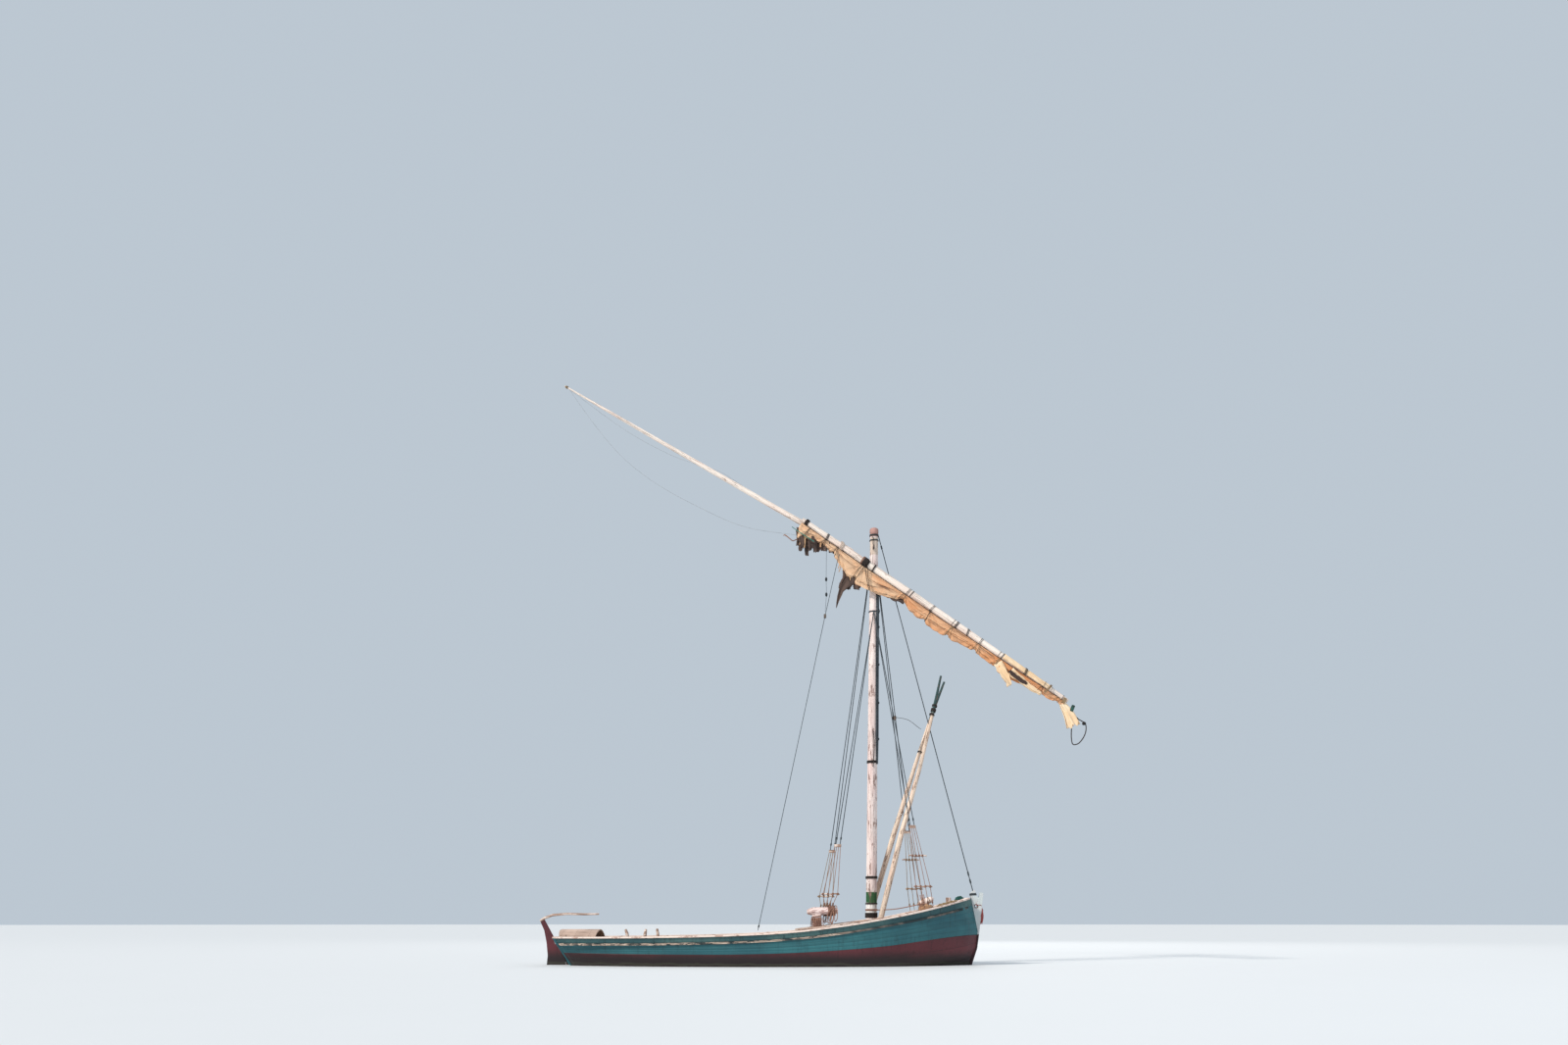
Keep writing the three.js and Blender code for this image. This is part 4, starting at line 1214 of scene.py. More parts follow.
def billow(made: bpy.types.Object, cap: float, pressure: float, held: Sequence[int], ticks: int) -> None:
    """Lets a piece of cloth fill out and wrinkle in a short simulation, and keeps the result in its mesh.

    Args:
        made: The piece.
        cap: How far a point may move, in metres.
        pressure: Pressure inside it.
        held: Numbers of the points that stay where they are.
        ticks: Frames that the simulation runs for.
    """
    scene = bpy.context.scene
    group = made.vertex_groups.new(name="held")
    group.add(list(held), 1.0, "REPLACE")
    cloth = made.modifiers.new("cloth", "CLOTH")
    cloth.point_cache.frame_end = ticks
    settings = cloth.settings
    settings.quality = 4
    settings.mass = 0.4
    settings.tension_stiffness = settings.compression_stiffness = 12
    settings.shear_stiffness = 4
    settings.bending_stiffness = 0.3
    settings.shrink_min = settings.shrink_max = -0.08
    settings.use_pressure = True
    settings.uniform_pressure_force = pressure
    settings.vertex_group_mass = group.name
    settings.effector_weights.gravity = 0.25
    for tick in range(1, ticks + 1):
        scene.frame_set(tick)
    settled = made.evaluated_get(bpy.context.evaluated_depsgraph_get()).to_mesh()
    moved = [vert.co.copy() for vert in settled.vertices]
    made.modifiers.remove(cloth)
    made.vertex_groups.remove(group)
    scene.frame_set(1)
    for vert, goal in zip(made.data.vertices, moved):
        step = goal - vert.co
        vert.co += step * min(1.0, cap / max(step.length, 1e-6))


class Band(Enum):
    """Bands of planking between two rows of the hull's section, with the strakes in each."""

    BOTTOM = 7
    TOPSIDE = 5
    BULWARK = 1


@dataclass(frozen=True)
class HullLines:
    """The lines of the hull, as its planking follows them.

    Station columns: share of the length, keel rabbet height, bilge half-breadth and height, paint line
    half-breadth and height, deck line half-breadth and height.
    """

    stern_x: float = -6.55
    rake: float = 0.62
    knuckle: float = 0.972
    bulwark_aft: float = 0.15
    bulwark_bow: float = 0.085
    flare: float = 0.04
    rabbet: tuple = ((-0.38, 6.15), (0.0, 6.82), (0.54, 7.06), (1.08, 7.15), (1.94, 7.01), (2.26, 6.96))
    stations: tuple = (
        (0.0, -0.35, 0.5, -0.3, 1.02, 0.41, 1.25, 0.715),
        (0.06, -0.52, 0.85, -0.48, 1.33, 0.4, 1.5, 0.715),
        (0.14, -0.66, 1.35, -0.62, 1.68, 0.39, 1.8, 0.72),
        (0.25, -0.74, 1.8, -0.72, 2.0, 0.38, 2.09, 0.735),
        (0.4, -0.76, 2.12, -0.76, 2.24, 0.38, 2.31, 0.78),
        (0.55, -0.76, 2.18, -0.76, 2.28, 0.43, 2.35, 0.885),
        (0.68, -0.76, 2.08, -0.76, 2.2, 0.53, 2.29, 1.085),
        (0.78, -0.74, 1.75, -0.74, 1.96, 0.645, 2.09, 1.3),
        (0.86, -0.69, 1.3, -0.66, 1.6, 0.79, 1.77, 1.5),
        (0.92, -0.6, 0.85, -0.52, 1.19, 0.895, 1.38, 1.675),
        (0.972, -0.47, 0.38, -0.29, 0.66, 0.96, 0.83, 1.84),
    )
    stem: tuple = (1.0, -0.38, 0.092, 0.1, 0.092, 0.97, 0.095, 1.935)

    def value(self, column: int, u: float) -> float:
        """One column of the stations at a share u of the length, straight ahead of the knuckle.

        Args:
            column: Which value of a station to give.
            u: Share of the length.

        Returns:
            The value.
        """
        if u <= self.knuckle:
            return smooth_read(self.stations, u, column)
        share = (u - self.knuckle) / (1 - self.knuckle)
        return lerp(self.stations[-1][column], self.stem[column], share)

    def x_at(self, u: float, z: float) -> float:
        """Place along the boat of a share u of the length, at a height."""
        return lerp(self.stern_x - self.rake * z, read(self.rabbet, z), u)

    def corners(self, u: float) -> list[tuple[float, float]]:
        """Paint line, deck line and rail of the section at u, as half-breadth and height.

        Args:
            u: Share of the length.

        Returns:
            The three pairs.
        """
        deck = (self.value(6, u), self.value(7, u))
        flare = self.flare * min(1.0, (1 - u) / (1 - self.knuckle))
        top = (deck[0] + flare, deck[1] + self.bulwark_aft + self.bulwark_bow * u**8)
        return [(self.value(4, u), self.value(5, u)), deck, top]

    def section(self, u: float, band: Band, t: float) -> tuple[float, float]:
        """Half-breadth and height at a share t of the way up a band of the section at u.

        Args:
            u: Share of the length.
            band: Band of planking.
            t: Share of the way up the band.

        Returns:
            The two values.
        """
        paint, deck, top = self.corners(u)
        if band is Band.TOPSIDE:
            return lerp(paint[0], deck[0], t), lerp(paint[1], deck[1], t)
        if band is Band.BULWARK:
            return lerp(deck[0], top[0], t), lerp(deck[1], top[1], t)
        keel, bilge = (0.09, self.value(1, u)), (self.value(2, u), self.value(3, u))
        first, second, third = (1 - t) ** 2, 2 * t * (1 - t), t * t
        return tuple(first * k + second * b + third * p for k, b, p in zip(keel, bilge, paint))

    def skin(self, u: float, band: Band, t: float, side: int, out: float = 0.0) -> Vector:
        """A point of the planking.

        Args:
            u: Share of the length.
            band: Band of planking.
            t: Share of the way up the band.
            side: 1 to port, -1 to starboard.
            out: Distance outside the planking.

        Returns:
            The point.
        """
        low, high = self.section(u, band, max(0.0, t - 0.02)), self.section(u, band, min(1.0, t + 0.02))
        dy, dz = high[0] - low[0], high[1] - low[1]
        size = hypot(dy, dz)
        y, z = self.section(u, band, t)
        y, z = y + dz / size * out, z - dy / size * out
        return Vector((self.x_at(u, z), side * y, z))

    def share_at(self, x: float) -> float:
        """Share of the length whose deck line lies at x."""
        return halved(lambda u: self.x_at(u, self.value(7, u)) < x, 30)

    def deck_z(self, x: float) -> float:
        """Height of the deck's surface at x."""
        return self.value(7, self.share_at(x)) - 0.03

    def rail_top(self, x: float, side: int, inward: float = 0.03) -> Vector:
        """A point on top of the cap rail at x."""
        spot = self.skin(self.share_at(x), Band.BULWARK, 1.0, side)
        return Vector((x, spot.y - side * inward, spot.z + 0.055))


LINES = HullLines()


@dataclass(frozen=True)
class Planking:
    """The planked sides and bottom, strake by strake, with rails and rubbing strakes."""

    columns: int = 100
    steps: int = 32
    knuckle_column: float = 0.95
    plank: float = 0.06
    groove: float = 0.0025
    seam: float = 0.05
    rail_width: float = 0.16
    rail_thick: float = 0.052
    rail_joints: tuple[float, ...] = (0.002, 0.24, 0.49, 0.74, 0.987)
    doubling: tuple[float, float] = (1.5, 4.1)
    rub_joints: tuple[float, ...] = (0.004, 0.31, 0.66, 0.987)
    rub_section: tuple[tuple[float, float], ...] = (
        (-0.016, -0.034), (0.014, -0.028), (0.019, -0.02), (0.019, 0.014), (0.012, 0.022), (-0.016, 0.034),
    )

    def build(self) -> None:
        """Builds both sides and their rails."""
        bands = (
            (Band.BOTTOM, "bottom_planking", MAROON),
            (Band.TOPSIDE, "topside_planking", TEAL),
            (Band.BULWARK, "bulwark", BULWARK_PAINT),
        )
        for side, word in SIDES:
            for band, name, finish in bands:
                self.strakes(f"{name}_{word}", band, side, finish)
            self.rub(side, f"rubbing_strake_{word}")
        self.rails()

    def strakes(self, node: str, band: Band, side: int, finish: Finish) -> None:
        """Builds one band of planking as a shell with a groove at each seam.

        Args:
            node: CAD node that it stands for.
            band: Band of planking.
            side: 1 to port, -1 to starboard.
            finish: Its finish.
        """
        count = band.value
        stops = (0.0, self.seam, 0.5, 1 - self.seam)
        rows = count * len(stops)

        def place(a: float, b: float) -> Charted:
            """Point and UV of one corner of the grid.

            Args:
                a: Share of the way forward.
                b: Share of the way up.

            Returns:
                The point and its UV pair.
            """
            if side < 0:
                a = 1 - a
            k = self.knuckle_column
            u = a / k * LINES.knuckle if a < k else lerp(LINES.knuckle, 1, (a - k) / (1 - k))
            step = round(b * rows)
            t = (step // len(stops) + stops[step % len(stops)]) / count if step < rows else 1.0
            cut = -self.groove if step % len(stops) == 0 and 0 < step < rows else 0.0
            spot = LINES.skin(u, band, t, side, cut)
            return spot, (spot.x, t * count + 20 * count)

        made = Shape().sheet(self.columns, rows, place).piece(
            f"{node}_strakes", finish, Body.HULL, [node], 60, outward=False
        )
        mesh = made.data
        if mesh.polygons[len(mesh.polygons) // 2].normal.y * side < 0:
            mesh.flip_normals()
        thicken(made, self.plank)

    def run(self, band: Band, side: int, low: float, high: float, out: float, up: float) -> list[Vector]:
        """Points of a line along the top edge of a band, moved out and up.

        Args:
            band: Band of planking.
            side: 1 to port, -1 to starboard.
            low: Share of the length where it starts.
            high: Share where it ends.
            out: Distance outwards.
            up: Distance upwards.

        Returns:
            The points.
        """
        points = []
        for k in range(self.steps + 1):
            u = lerp(low, high, k / self.steps)
            here = LINES.skin(u, band, 1.0, side)
            near = LINES.skin(max(0.0, u - 0.01), band, 1.0, side)
            far = LINES.skin(min(1.0, u + 0.01), band, 1.0, side)
            away = Vector((near.y - far.y, abs(far.x - near.x) * side, 0)).normalized()
            points.append(here + away * out + UP * up)
        return points

    def rails(self) -> None:
        """Builds the worn cap rail in its lengths of timber, and the timber laid on it forward."""
        shape = Shape()
        rng = Random(4)
        for side in (1, -1):
            for low, high in zip(self.rail_joints, self.rail_joints[1:]):
                width = self.rail_width + rng.uniform(-0.008, 0.004)
                lift = rng.uniform(-0.002, 0.001)
                path = self.run(Band.BULWARK, side, low + 0.0004, high - 0.0004, -0.03, 0.029 + lift)
                seed = rng.uniform(0, 50)

                def wear(share: float, along: float) -> float:
                    """Chips and knocks of the timber's edges."""
                    knock = max(0.0, wander(share, along * 3.1, seed))
                    return 1 - 0.05 * knock - 0.012 * abs(wander(share * 5, along * 17, seed))

                section = rounded(width, self.rail_thick, 0.009)
                shape.tube(path, 1.0, section=section, up=UP, wobble=wear)
        stern = LINES.skin(0.0, Band.BULWARK, 1.0, 1)
        low = (stern.x - 0.08, -stern.y + 0.02, stern.z + 0.002)
        shape.block(low, (stern.x + 0.06, stern.y - 0.02, stern.z + 0.054))
        shape.piece("cap_rail_timbers", RAIL, replaces=["cap_rail"])
        doubling = Shape()
        low, high = (LINES.share_at(x) for x in self.doubling)
        section = rounded(0.085, self.rail_thick, 0.01)
        sizes = [lerp(1.0, 0.35, max(0.0, k / self.steps - 0.45) / 0.55) for k in range(self.steps + 1)]
        for side in (1, -1):
            path = self.run(Band.BULWARK, side, low, high, 0.005, 0.082)
            path = [p - UP * self.rail_thick / 2 * (1 - s) for p, s in zip(path, sizes)]
            doubling.tube(path, sizes, section=section, up=UP)
        doubling.piece("rail_doubling", PALE_TIMBER)

    def rub(self, side: int, node: str) -> None:
        """Builds one rubbing strake in its lengths.

        Args:
            side: 1 to port, -1 to starboard.
            node: CAD node that it stands for.
        """
        shape = Shape()
        section = self.rub_section[::-1] if side < 0 else [(-x, y) for x, y in self.rub_section]
        for low, high in zip(self.rub_joints, self.rub_joints[1:]):
            path = self.run(Band.TOPSIDE, side, low + 0.0003, high - 0.0003, 0.02, -0.037)

            def wear(share: float, along: float) -> float:
                """Scuffs from lying alongside."""
                return 1 - 0.12 * max(0.0, noise.noise(Vector((along * 2.3, share * 5, 8.0 + side))))

            shape.tube(path, 1.0, section=section, up=UP, wobble=wear)
        shape.piece(f"{node}_timbers", RUB, replaces=[node])


@dataclass(frozen=True)
class Ends:
    """Stem, keel, stern and what hangs on them."""

    dressed: tuple[tuple[str, Finish, float], ...] = (
        ("keel", MAROON_POSTS, 0.012), ("stem", STEM_PAINT, 0.012), ("transom", TEAL_STERN, 0.004),
        ("sternpost", TEAL_STERN, 0.012), ("rudder_irons", IRON, 0.002), ("rudder", MAROON_POSTS, 0.006),
    )
    hawse: Point = (7.14, 0.092, 1.9)
    hawse_radius: float = 0.055
    fender_top: Point = (7.345, -0.03, 1.83)
    fender_drop: float = 0.55

    def build(self) -> None:
        """Dresses the posts and builds the bow's fittings."""
        for row in self.dressed:
            soften(*row)
        self.hawse_rings()
        self.fender()

    def hawse_rings(self) -> None:
        """Builds an iron ring round the hole on each side of the stem."""
        shape = Shape()
        for side in (1, -1):
            centre = Vector((self.hawse[0], side * self.hawse[1], self.hawse[2]))
            turns = [TAU * k / 24 for k in range(25)]
            ring = [centre + Vector((cos(turn), 0, sin(turn))) * self.hawse_radius for turn in turns]
            shape.tube(ring, 0.013, 8)
        shape.piece("hawse_rings", IRON)

    def fender(self) -> None:
        """Builds the red rope fender that hangs down the face of the stem."""
        rng = Random(11)
        shape = Shape()
        top = Vector(self.fender_top)
        for n in range(16):
            angle = TAU * n / 16
            spread = rng.uniform(0.02, 0.055)
            drop = self.fender_drop * rng.uniform(0.75, 1.0)
            foot = top + Vector((cos(angle) * spread, sin(angle) * spread * 1.2, -drop))
            foot.x -= 0.12 * drop
            middle = top.lerp(foot, 0.5) + Vector((cos(angle), sin(angle), 0)) * 0.04
            path = curved([top, middle, foot], 10)
            shape.tube(path, [0.012] * 9 + [0.01, 0.006], 6, unit=0.024)
        shape.coil(top + Vector((-0.008, 0, -0.07)), Vector((0.1, 0, 1)), 0.026, 0.009, 4)
        shape.coil(top + Vector((-0.03, 0, -0.27)), Vector((0.1, 0, 1)), 0.046, 0.009, 3)
        lash = [top + Vector((0.0, 0, -0.02)), top + Vector((-0.04, -0.07, 0.1)), Vector((7.14, -0.1, 1.93))]
        shape.rope(curved(lash, 10), 0.009)
        made = shape.piece("bow_fender", TASSEL_ROPE)


@dataclass(frozen=True)
class Decks:
    """Deck, hatch, hold and the timbers on them."""

    dressed: tuple[tuple[str, Finish, float], ...] = (
        ("deck", DECK, 0), ("hold_floor", FLOOR_BOARDS, 0), ("keelson_and_frames", DARK_TIMBER, 0),
        ("aft_bulkhead", WALL_BOARDS, 0), ("fore_bulkhead", WALL_BOARDS, 0),
        ("hatch_coaming", PALE_TIMBER, 0.01), ("stern_cover", COVER_BOARDS, 0.008),
        ("bow_bitt", UPRIGHT_TIMBER, 0.014), ("mast_partner", PALE_TIMBER, 0.012),
        ("spare_timber", PALE_TIMBER, 0.014), ("masthead_sheave", DARK_TIMBER, 0.004),
        ("tiller", PALE_TIMBER, 0),
    )
    post_x: float = 1.64
    post_half: float = 0.095
    log_out: float = 2.08
    log_z: float = 1.73

    def build(self) -> None:
        """Dresses the decks and builds the deck gear."""
        for row in self.dressed:
            soften(*row)
        for side, word in SIDES:
            self.log(side, word)
        self.bitt_lashing()
        self.log_tangle()
        self.crooked_posts()

    def log(self, side: int, word: str) -> None:
        """Builds the log on its post where the aft shrouds of one side are set up.

        Args:
            side: 1 to port, -1 to starboard.
            word: That side's word in the names.
        """
        shape = Shape()
        path = [Vector((lerp(1.36, 2.3, k / 16), side * self.log_out, self.log_z)) for k in range(17)]

        def knots(share: float, along: float) -> float:
            """Swellings of the log."""
            return 0.96 + 0.05 * wander(share, along * 2.2, side)

        radii = [0.07, 0.105, 0.118] + [0.122] * 11 + [0.118, 0.105, 0.07]
        shape.tube(path, radii, 22, wobble=knots)
        middle = Vector((self.post_x, side * self.log_out, 0))
        half = Vector((self.post_half, self.post_half, 0))
        foot = LINES.deck_z(self.post_x) + 0.001
        shape.block(middle - half + UP * foot, middle + half + UP * 1.64, 0.012)
        shape.piece(f"side_log_{word}", LOG_TIMBER, replaces=[f"side_bitt_{word}"])

    def bitt_lashing(self) -> None:
        """Builds the reddish rope that is wound and hung on each side post."""
        shape = Shape()
        rng = Random(7)
        for side in (1, -1):
            for n in range(9):
                level = 1.2 + n * 0.045
                ring = []
                for k in range(25):
                    angle = TAU * k / 24
                    corner = 0.108 / max(abs(cos(angle)), abs(sin(angle)))
                    reach = min(corner, 0.14) + 0.004
                    slope = 0.02 * sin(angle + n) + rng.uniform(-0.004, 0.004)
                    across = side * self.log_out + sin(angle) * reach
                    ring.append(Vector((self.post_x + cos(angle) * reach, across, level + slope)))
                shape.rope(ring, 0.015)
            for n in range(5):
                x = 1.52 + 0.06 * n
                out = side * (self.log_out + 0.13)
                low = 1.02 + rng.uniform(0, 0.12)
                loop = [
                    (x, out, 1.5), (x - 0.03, out + side * 0.04, low + 0.1), (x, out + side * 0.02, low),
                    (x + 0.05, out + side * 0.03, low + 0.12), (x + 0.04, out, 1.48),
                ]
                shape.rope(curved(loop, 20), 0.013)
        shape.piece("side_post_ropes", RED_ROPE)

    def log_tangle(self) -> None:
        """Builds the rope that is wound and heaped on the fore half of each log."""
        shape = Shape()
        rng = Random(19)
        for side in (1, -1):
            shape.coil(Vector((2.1, side * self.log_out, 1.735)), Vector((1, 0, 0.03)), 0.118, 0.013, 9)
            for _ in range(6):
                middle = Vector((rng.uniform(1.98, 2.24), side * self.log_out, 1.74))
                axis = Vector((1, rng.uniform(-0.5, 0.5), rng.uniform(-0.6, 0.6)))
                shape.coil(middle, axis, 0.15, 0.013, 1.1, 0.01)
            for _ in range(4):
                x = rng.uniform(1.96, 2.26)
                low = rng.uniform(1.25, 1.42)
                out = side * 2.23
                loop = [(x, out, 1.72), (x - 0.05, out + side * 0.03, 1.5), (x - 0.02, out, low),
                        (x + 0.04, out + side * 0.02, 1.5), (x + 0.05, out, 1.7)]
                shape.rope(curved(loop, 20), 0.012)
        shape.piece("side_log_ropes", RED_ROPE)

    def crooked_posts(self) -> None:
        """Builds the crooked belaying posts by the aft end of the hatch."""
        shape = Shape()
        for side, x, lean in ((1, -4.0, 0.05), (-1, -4.0, -0.04), (-1, -4.75, 0.12)):
            foot = LINES.deck_z(x)
            half = abs(LINES.skin(LINES.share_at(x), Band.TOPSIDE, 1.0, 1).y) - 0.3
            points = [
                (x, side * half, foot), (x + lean, side * half, foot + 0.22),
                (x + lean * 0.4, side * (half - 0.03), foot + 0.46),
            ]
            shape.tube(curved(points, 10), [0.055] * 8 + [0.05, 0.045, 0.035], 10)
        shape.piece("crooked_posts", PALE_TIMBER)


@dataclass(frozen=True)
class MastLine:
    """The mast's own line and taper."""

    x: float = 3.53
    z: float = 1.5
    rake: float = 0.0297
    head: float = 15.55
    foot: float = -0.412
    low: float = 0.19
    high: float = 0.15

    def at(self, z: float) -> Vector:
        """Point of the mast's axis at a height."""
        return Vector((self.x + self.rake * (z - self.z), 0, z))

    def radius(self, z: float) -> float:
        """Radius of the mast at a height."""
        return lerp(self.low, self.high, (z - self.z) / (self.head - self.z))

    def eye(self, z: float, side: int) -> Vector:
        """Point where the shrouds of one side leave their eye."""
        return self.at(z) + Vector((0, side * (self.radius(z) + 0.016), 0))

    @property
    def axis(self) -> Vector:
        """Direction of the mast."""
        return Vector((self.rake, 0, 1)).normalized()


MAST = MastLine()


@dataclass(frozen=True)
class Mast:
    """The mast with its bands, cap, hounds, sheave slot, rope turns and the halyard's parts.

    Columns of what is wound on it: height, number of turns, radius of the rope.
    """

    wound: tuple = (
        (2.845, 3, 0.014), (1.98, 2, 0.012), (1.6, 5, 0.016), (15.26, 3, 0.012), (6.8, 3, 0.015),
    )
    swell: tuple = ((15.3, 0.0), (15.34, 0.0), (15.36, 0.018), (15.49, 0.014), (15.53, 0.0), (15.55, -0.03))
    hounds: tuple = ((13.56, 0.186), (13.575, 0.196), (13.61, 0.198), (13.645, 0.196), (13.66, 0.186))
    slot: tuple[float, float, float] = (14.56, 14.86, 0.032)
    fall_angle: float = 0.7
    fall: tuple = (
        (6.65, 0.046), (8.5, 0.058), (10.5, 0.052), (12.18, 0.056), (12.25, 0.05), (12.35, 0.05),
        (12.42, 0.056), (13.48, 0.05),
    )

    def build(self) -> None:
        """Builds the mast and what is wound on it."""
        self.pole()
        self.turns()
        self.halyard()

    def pole(self) -> None:
        """Builds the mast itself, with shallow flats from the adze and a slot for the sheave."""
        levels = [MAST.foot + 0.25 * k for k in range(63)] + [15.3, 15.34, 15.36, 15.42, 15.49, 15.53, 15.55]
        radii = [MAST.radius(z) + read(self.swell, z) for z in levels]

        def adze(share: float, along: float) -> float:
            """Slight flats and waves of a hand-worked spar."""
            flat = 0.006 * abs(sin(share * TAU * 4 + 0.4 * sin(along * 0.7)))
            return 0.997 - flat + 0.012 * wander(share, along * 0.35, 2)

        made = Shape().tube([MAST.at(z) for z in levels], radii, 40, up=ACROSS, wobble=adze)
        ring = Shape().tube([MAST.at(z) for z, _ in self.hounds], [r for _, r in self.hounds], 40, up=ACROSS)
        pole = made.piece("mast_spar", MAST_WASH, replaces=["mast"])
        low, high, half = self.slot
        axle = MAST.at((low + high) / 2)
        cutter = Shape().block(
            (axle.x - 0.4, -half, low + 0.01), (axle.x + 0.4, half, high - 0.01), 0.004
        ).piece("slot_cutter", IRON)
        cut = pole.modifiers.new("slot", "BOOLEAN")
        cut.object = cutter
        cut.solver = "EXACT"
        graph = bpy.context.evaluated_depsgraph_get()
        mesh = bpy.data.meshes.new_from_object(pole.evaluated_get(graph))
        pole.modifiers.clear()
        pole.data = mesh
        bpy.data.objects.remove(cutter)
        ring.piece("mast_hounds", MAST_WASH)

    def turns(self) -> None:
        """Builds the rope turns on the mast above its painted bands and at its foot."""
        shape = Shape()
        for z, turns, thick in self.wound:
            shape.coil(MAST.at(z), MAST.axis, MAST.radius(z) + 0.002, thick, turns)
        tail = MAST.at(15.2) + Vector((-0.06, -0.165, 0))
        drops = [tail + Vector((0.02 * (k % 2), -0.01 * k, -0.14 * k)) for k in range(5)]
        shape.tube(curved(drops, 16), [0.012] * 12 + [0.016, 0.024, 0.026, 0.02, 0.012], 8, unit=0.024)
        shape.piece("mast_rope_turns", BLACK_ROPE)

    def fall_point(self, z: float, angle: float, out: float) -> Vector:
        """Point beside the mast at a height, in the direction of the halyard's parts."""
        turn = self.fall_angle + angle
        return MAST.at(z) + Vector((cos(turn), -sin(turn), 0)) * (MAST.radius(z) + out)

    def halyard(self) -> None:
        """Builds the halyard's parts, drawn together down the mast, with seizings."""
        shape = Shape()
        rope = 0.016
        parts = ((-0.26, 0), (-0.09, 0), (0.09, 0), (0.26, 0), (-0.17, 1), (0.0, 1), (0.17, 1))
        for n, (angle, layer) in enumerate(parts):
            path = []
            for k in range(60):
                z = lerp(6.72, 13.45, k / 59)
                spread = min(1.0, (z - 6.6) / 1.2)
                sway = 0.05 * sin(z * 1.1 + n)
                near = 0.04 if abs(z - 12.3) < 0.1 else 0.0
                path.append(self.fall_point(z, angle * spread + sway * 0.4, 0.02 + near + layer * 0.032))
            shape.rope(path, rope, 7)
        for z in (7.6, 8.9, 10.3, 11.7, 13.1):
            centre = self.fall_point(z, 0.0, 0.045)
            shape.coil(centre, MAST.axis, 0.052, 0.007, 5)
        shape.piece("halyard_parts", DARK_ROPE, replaces=["halyard_fall"])


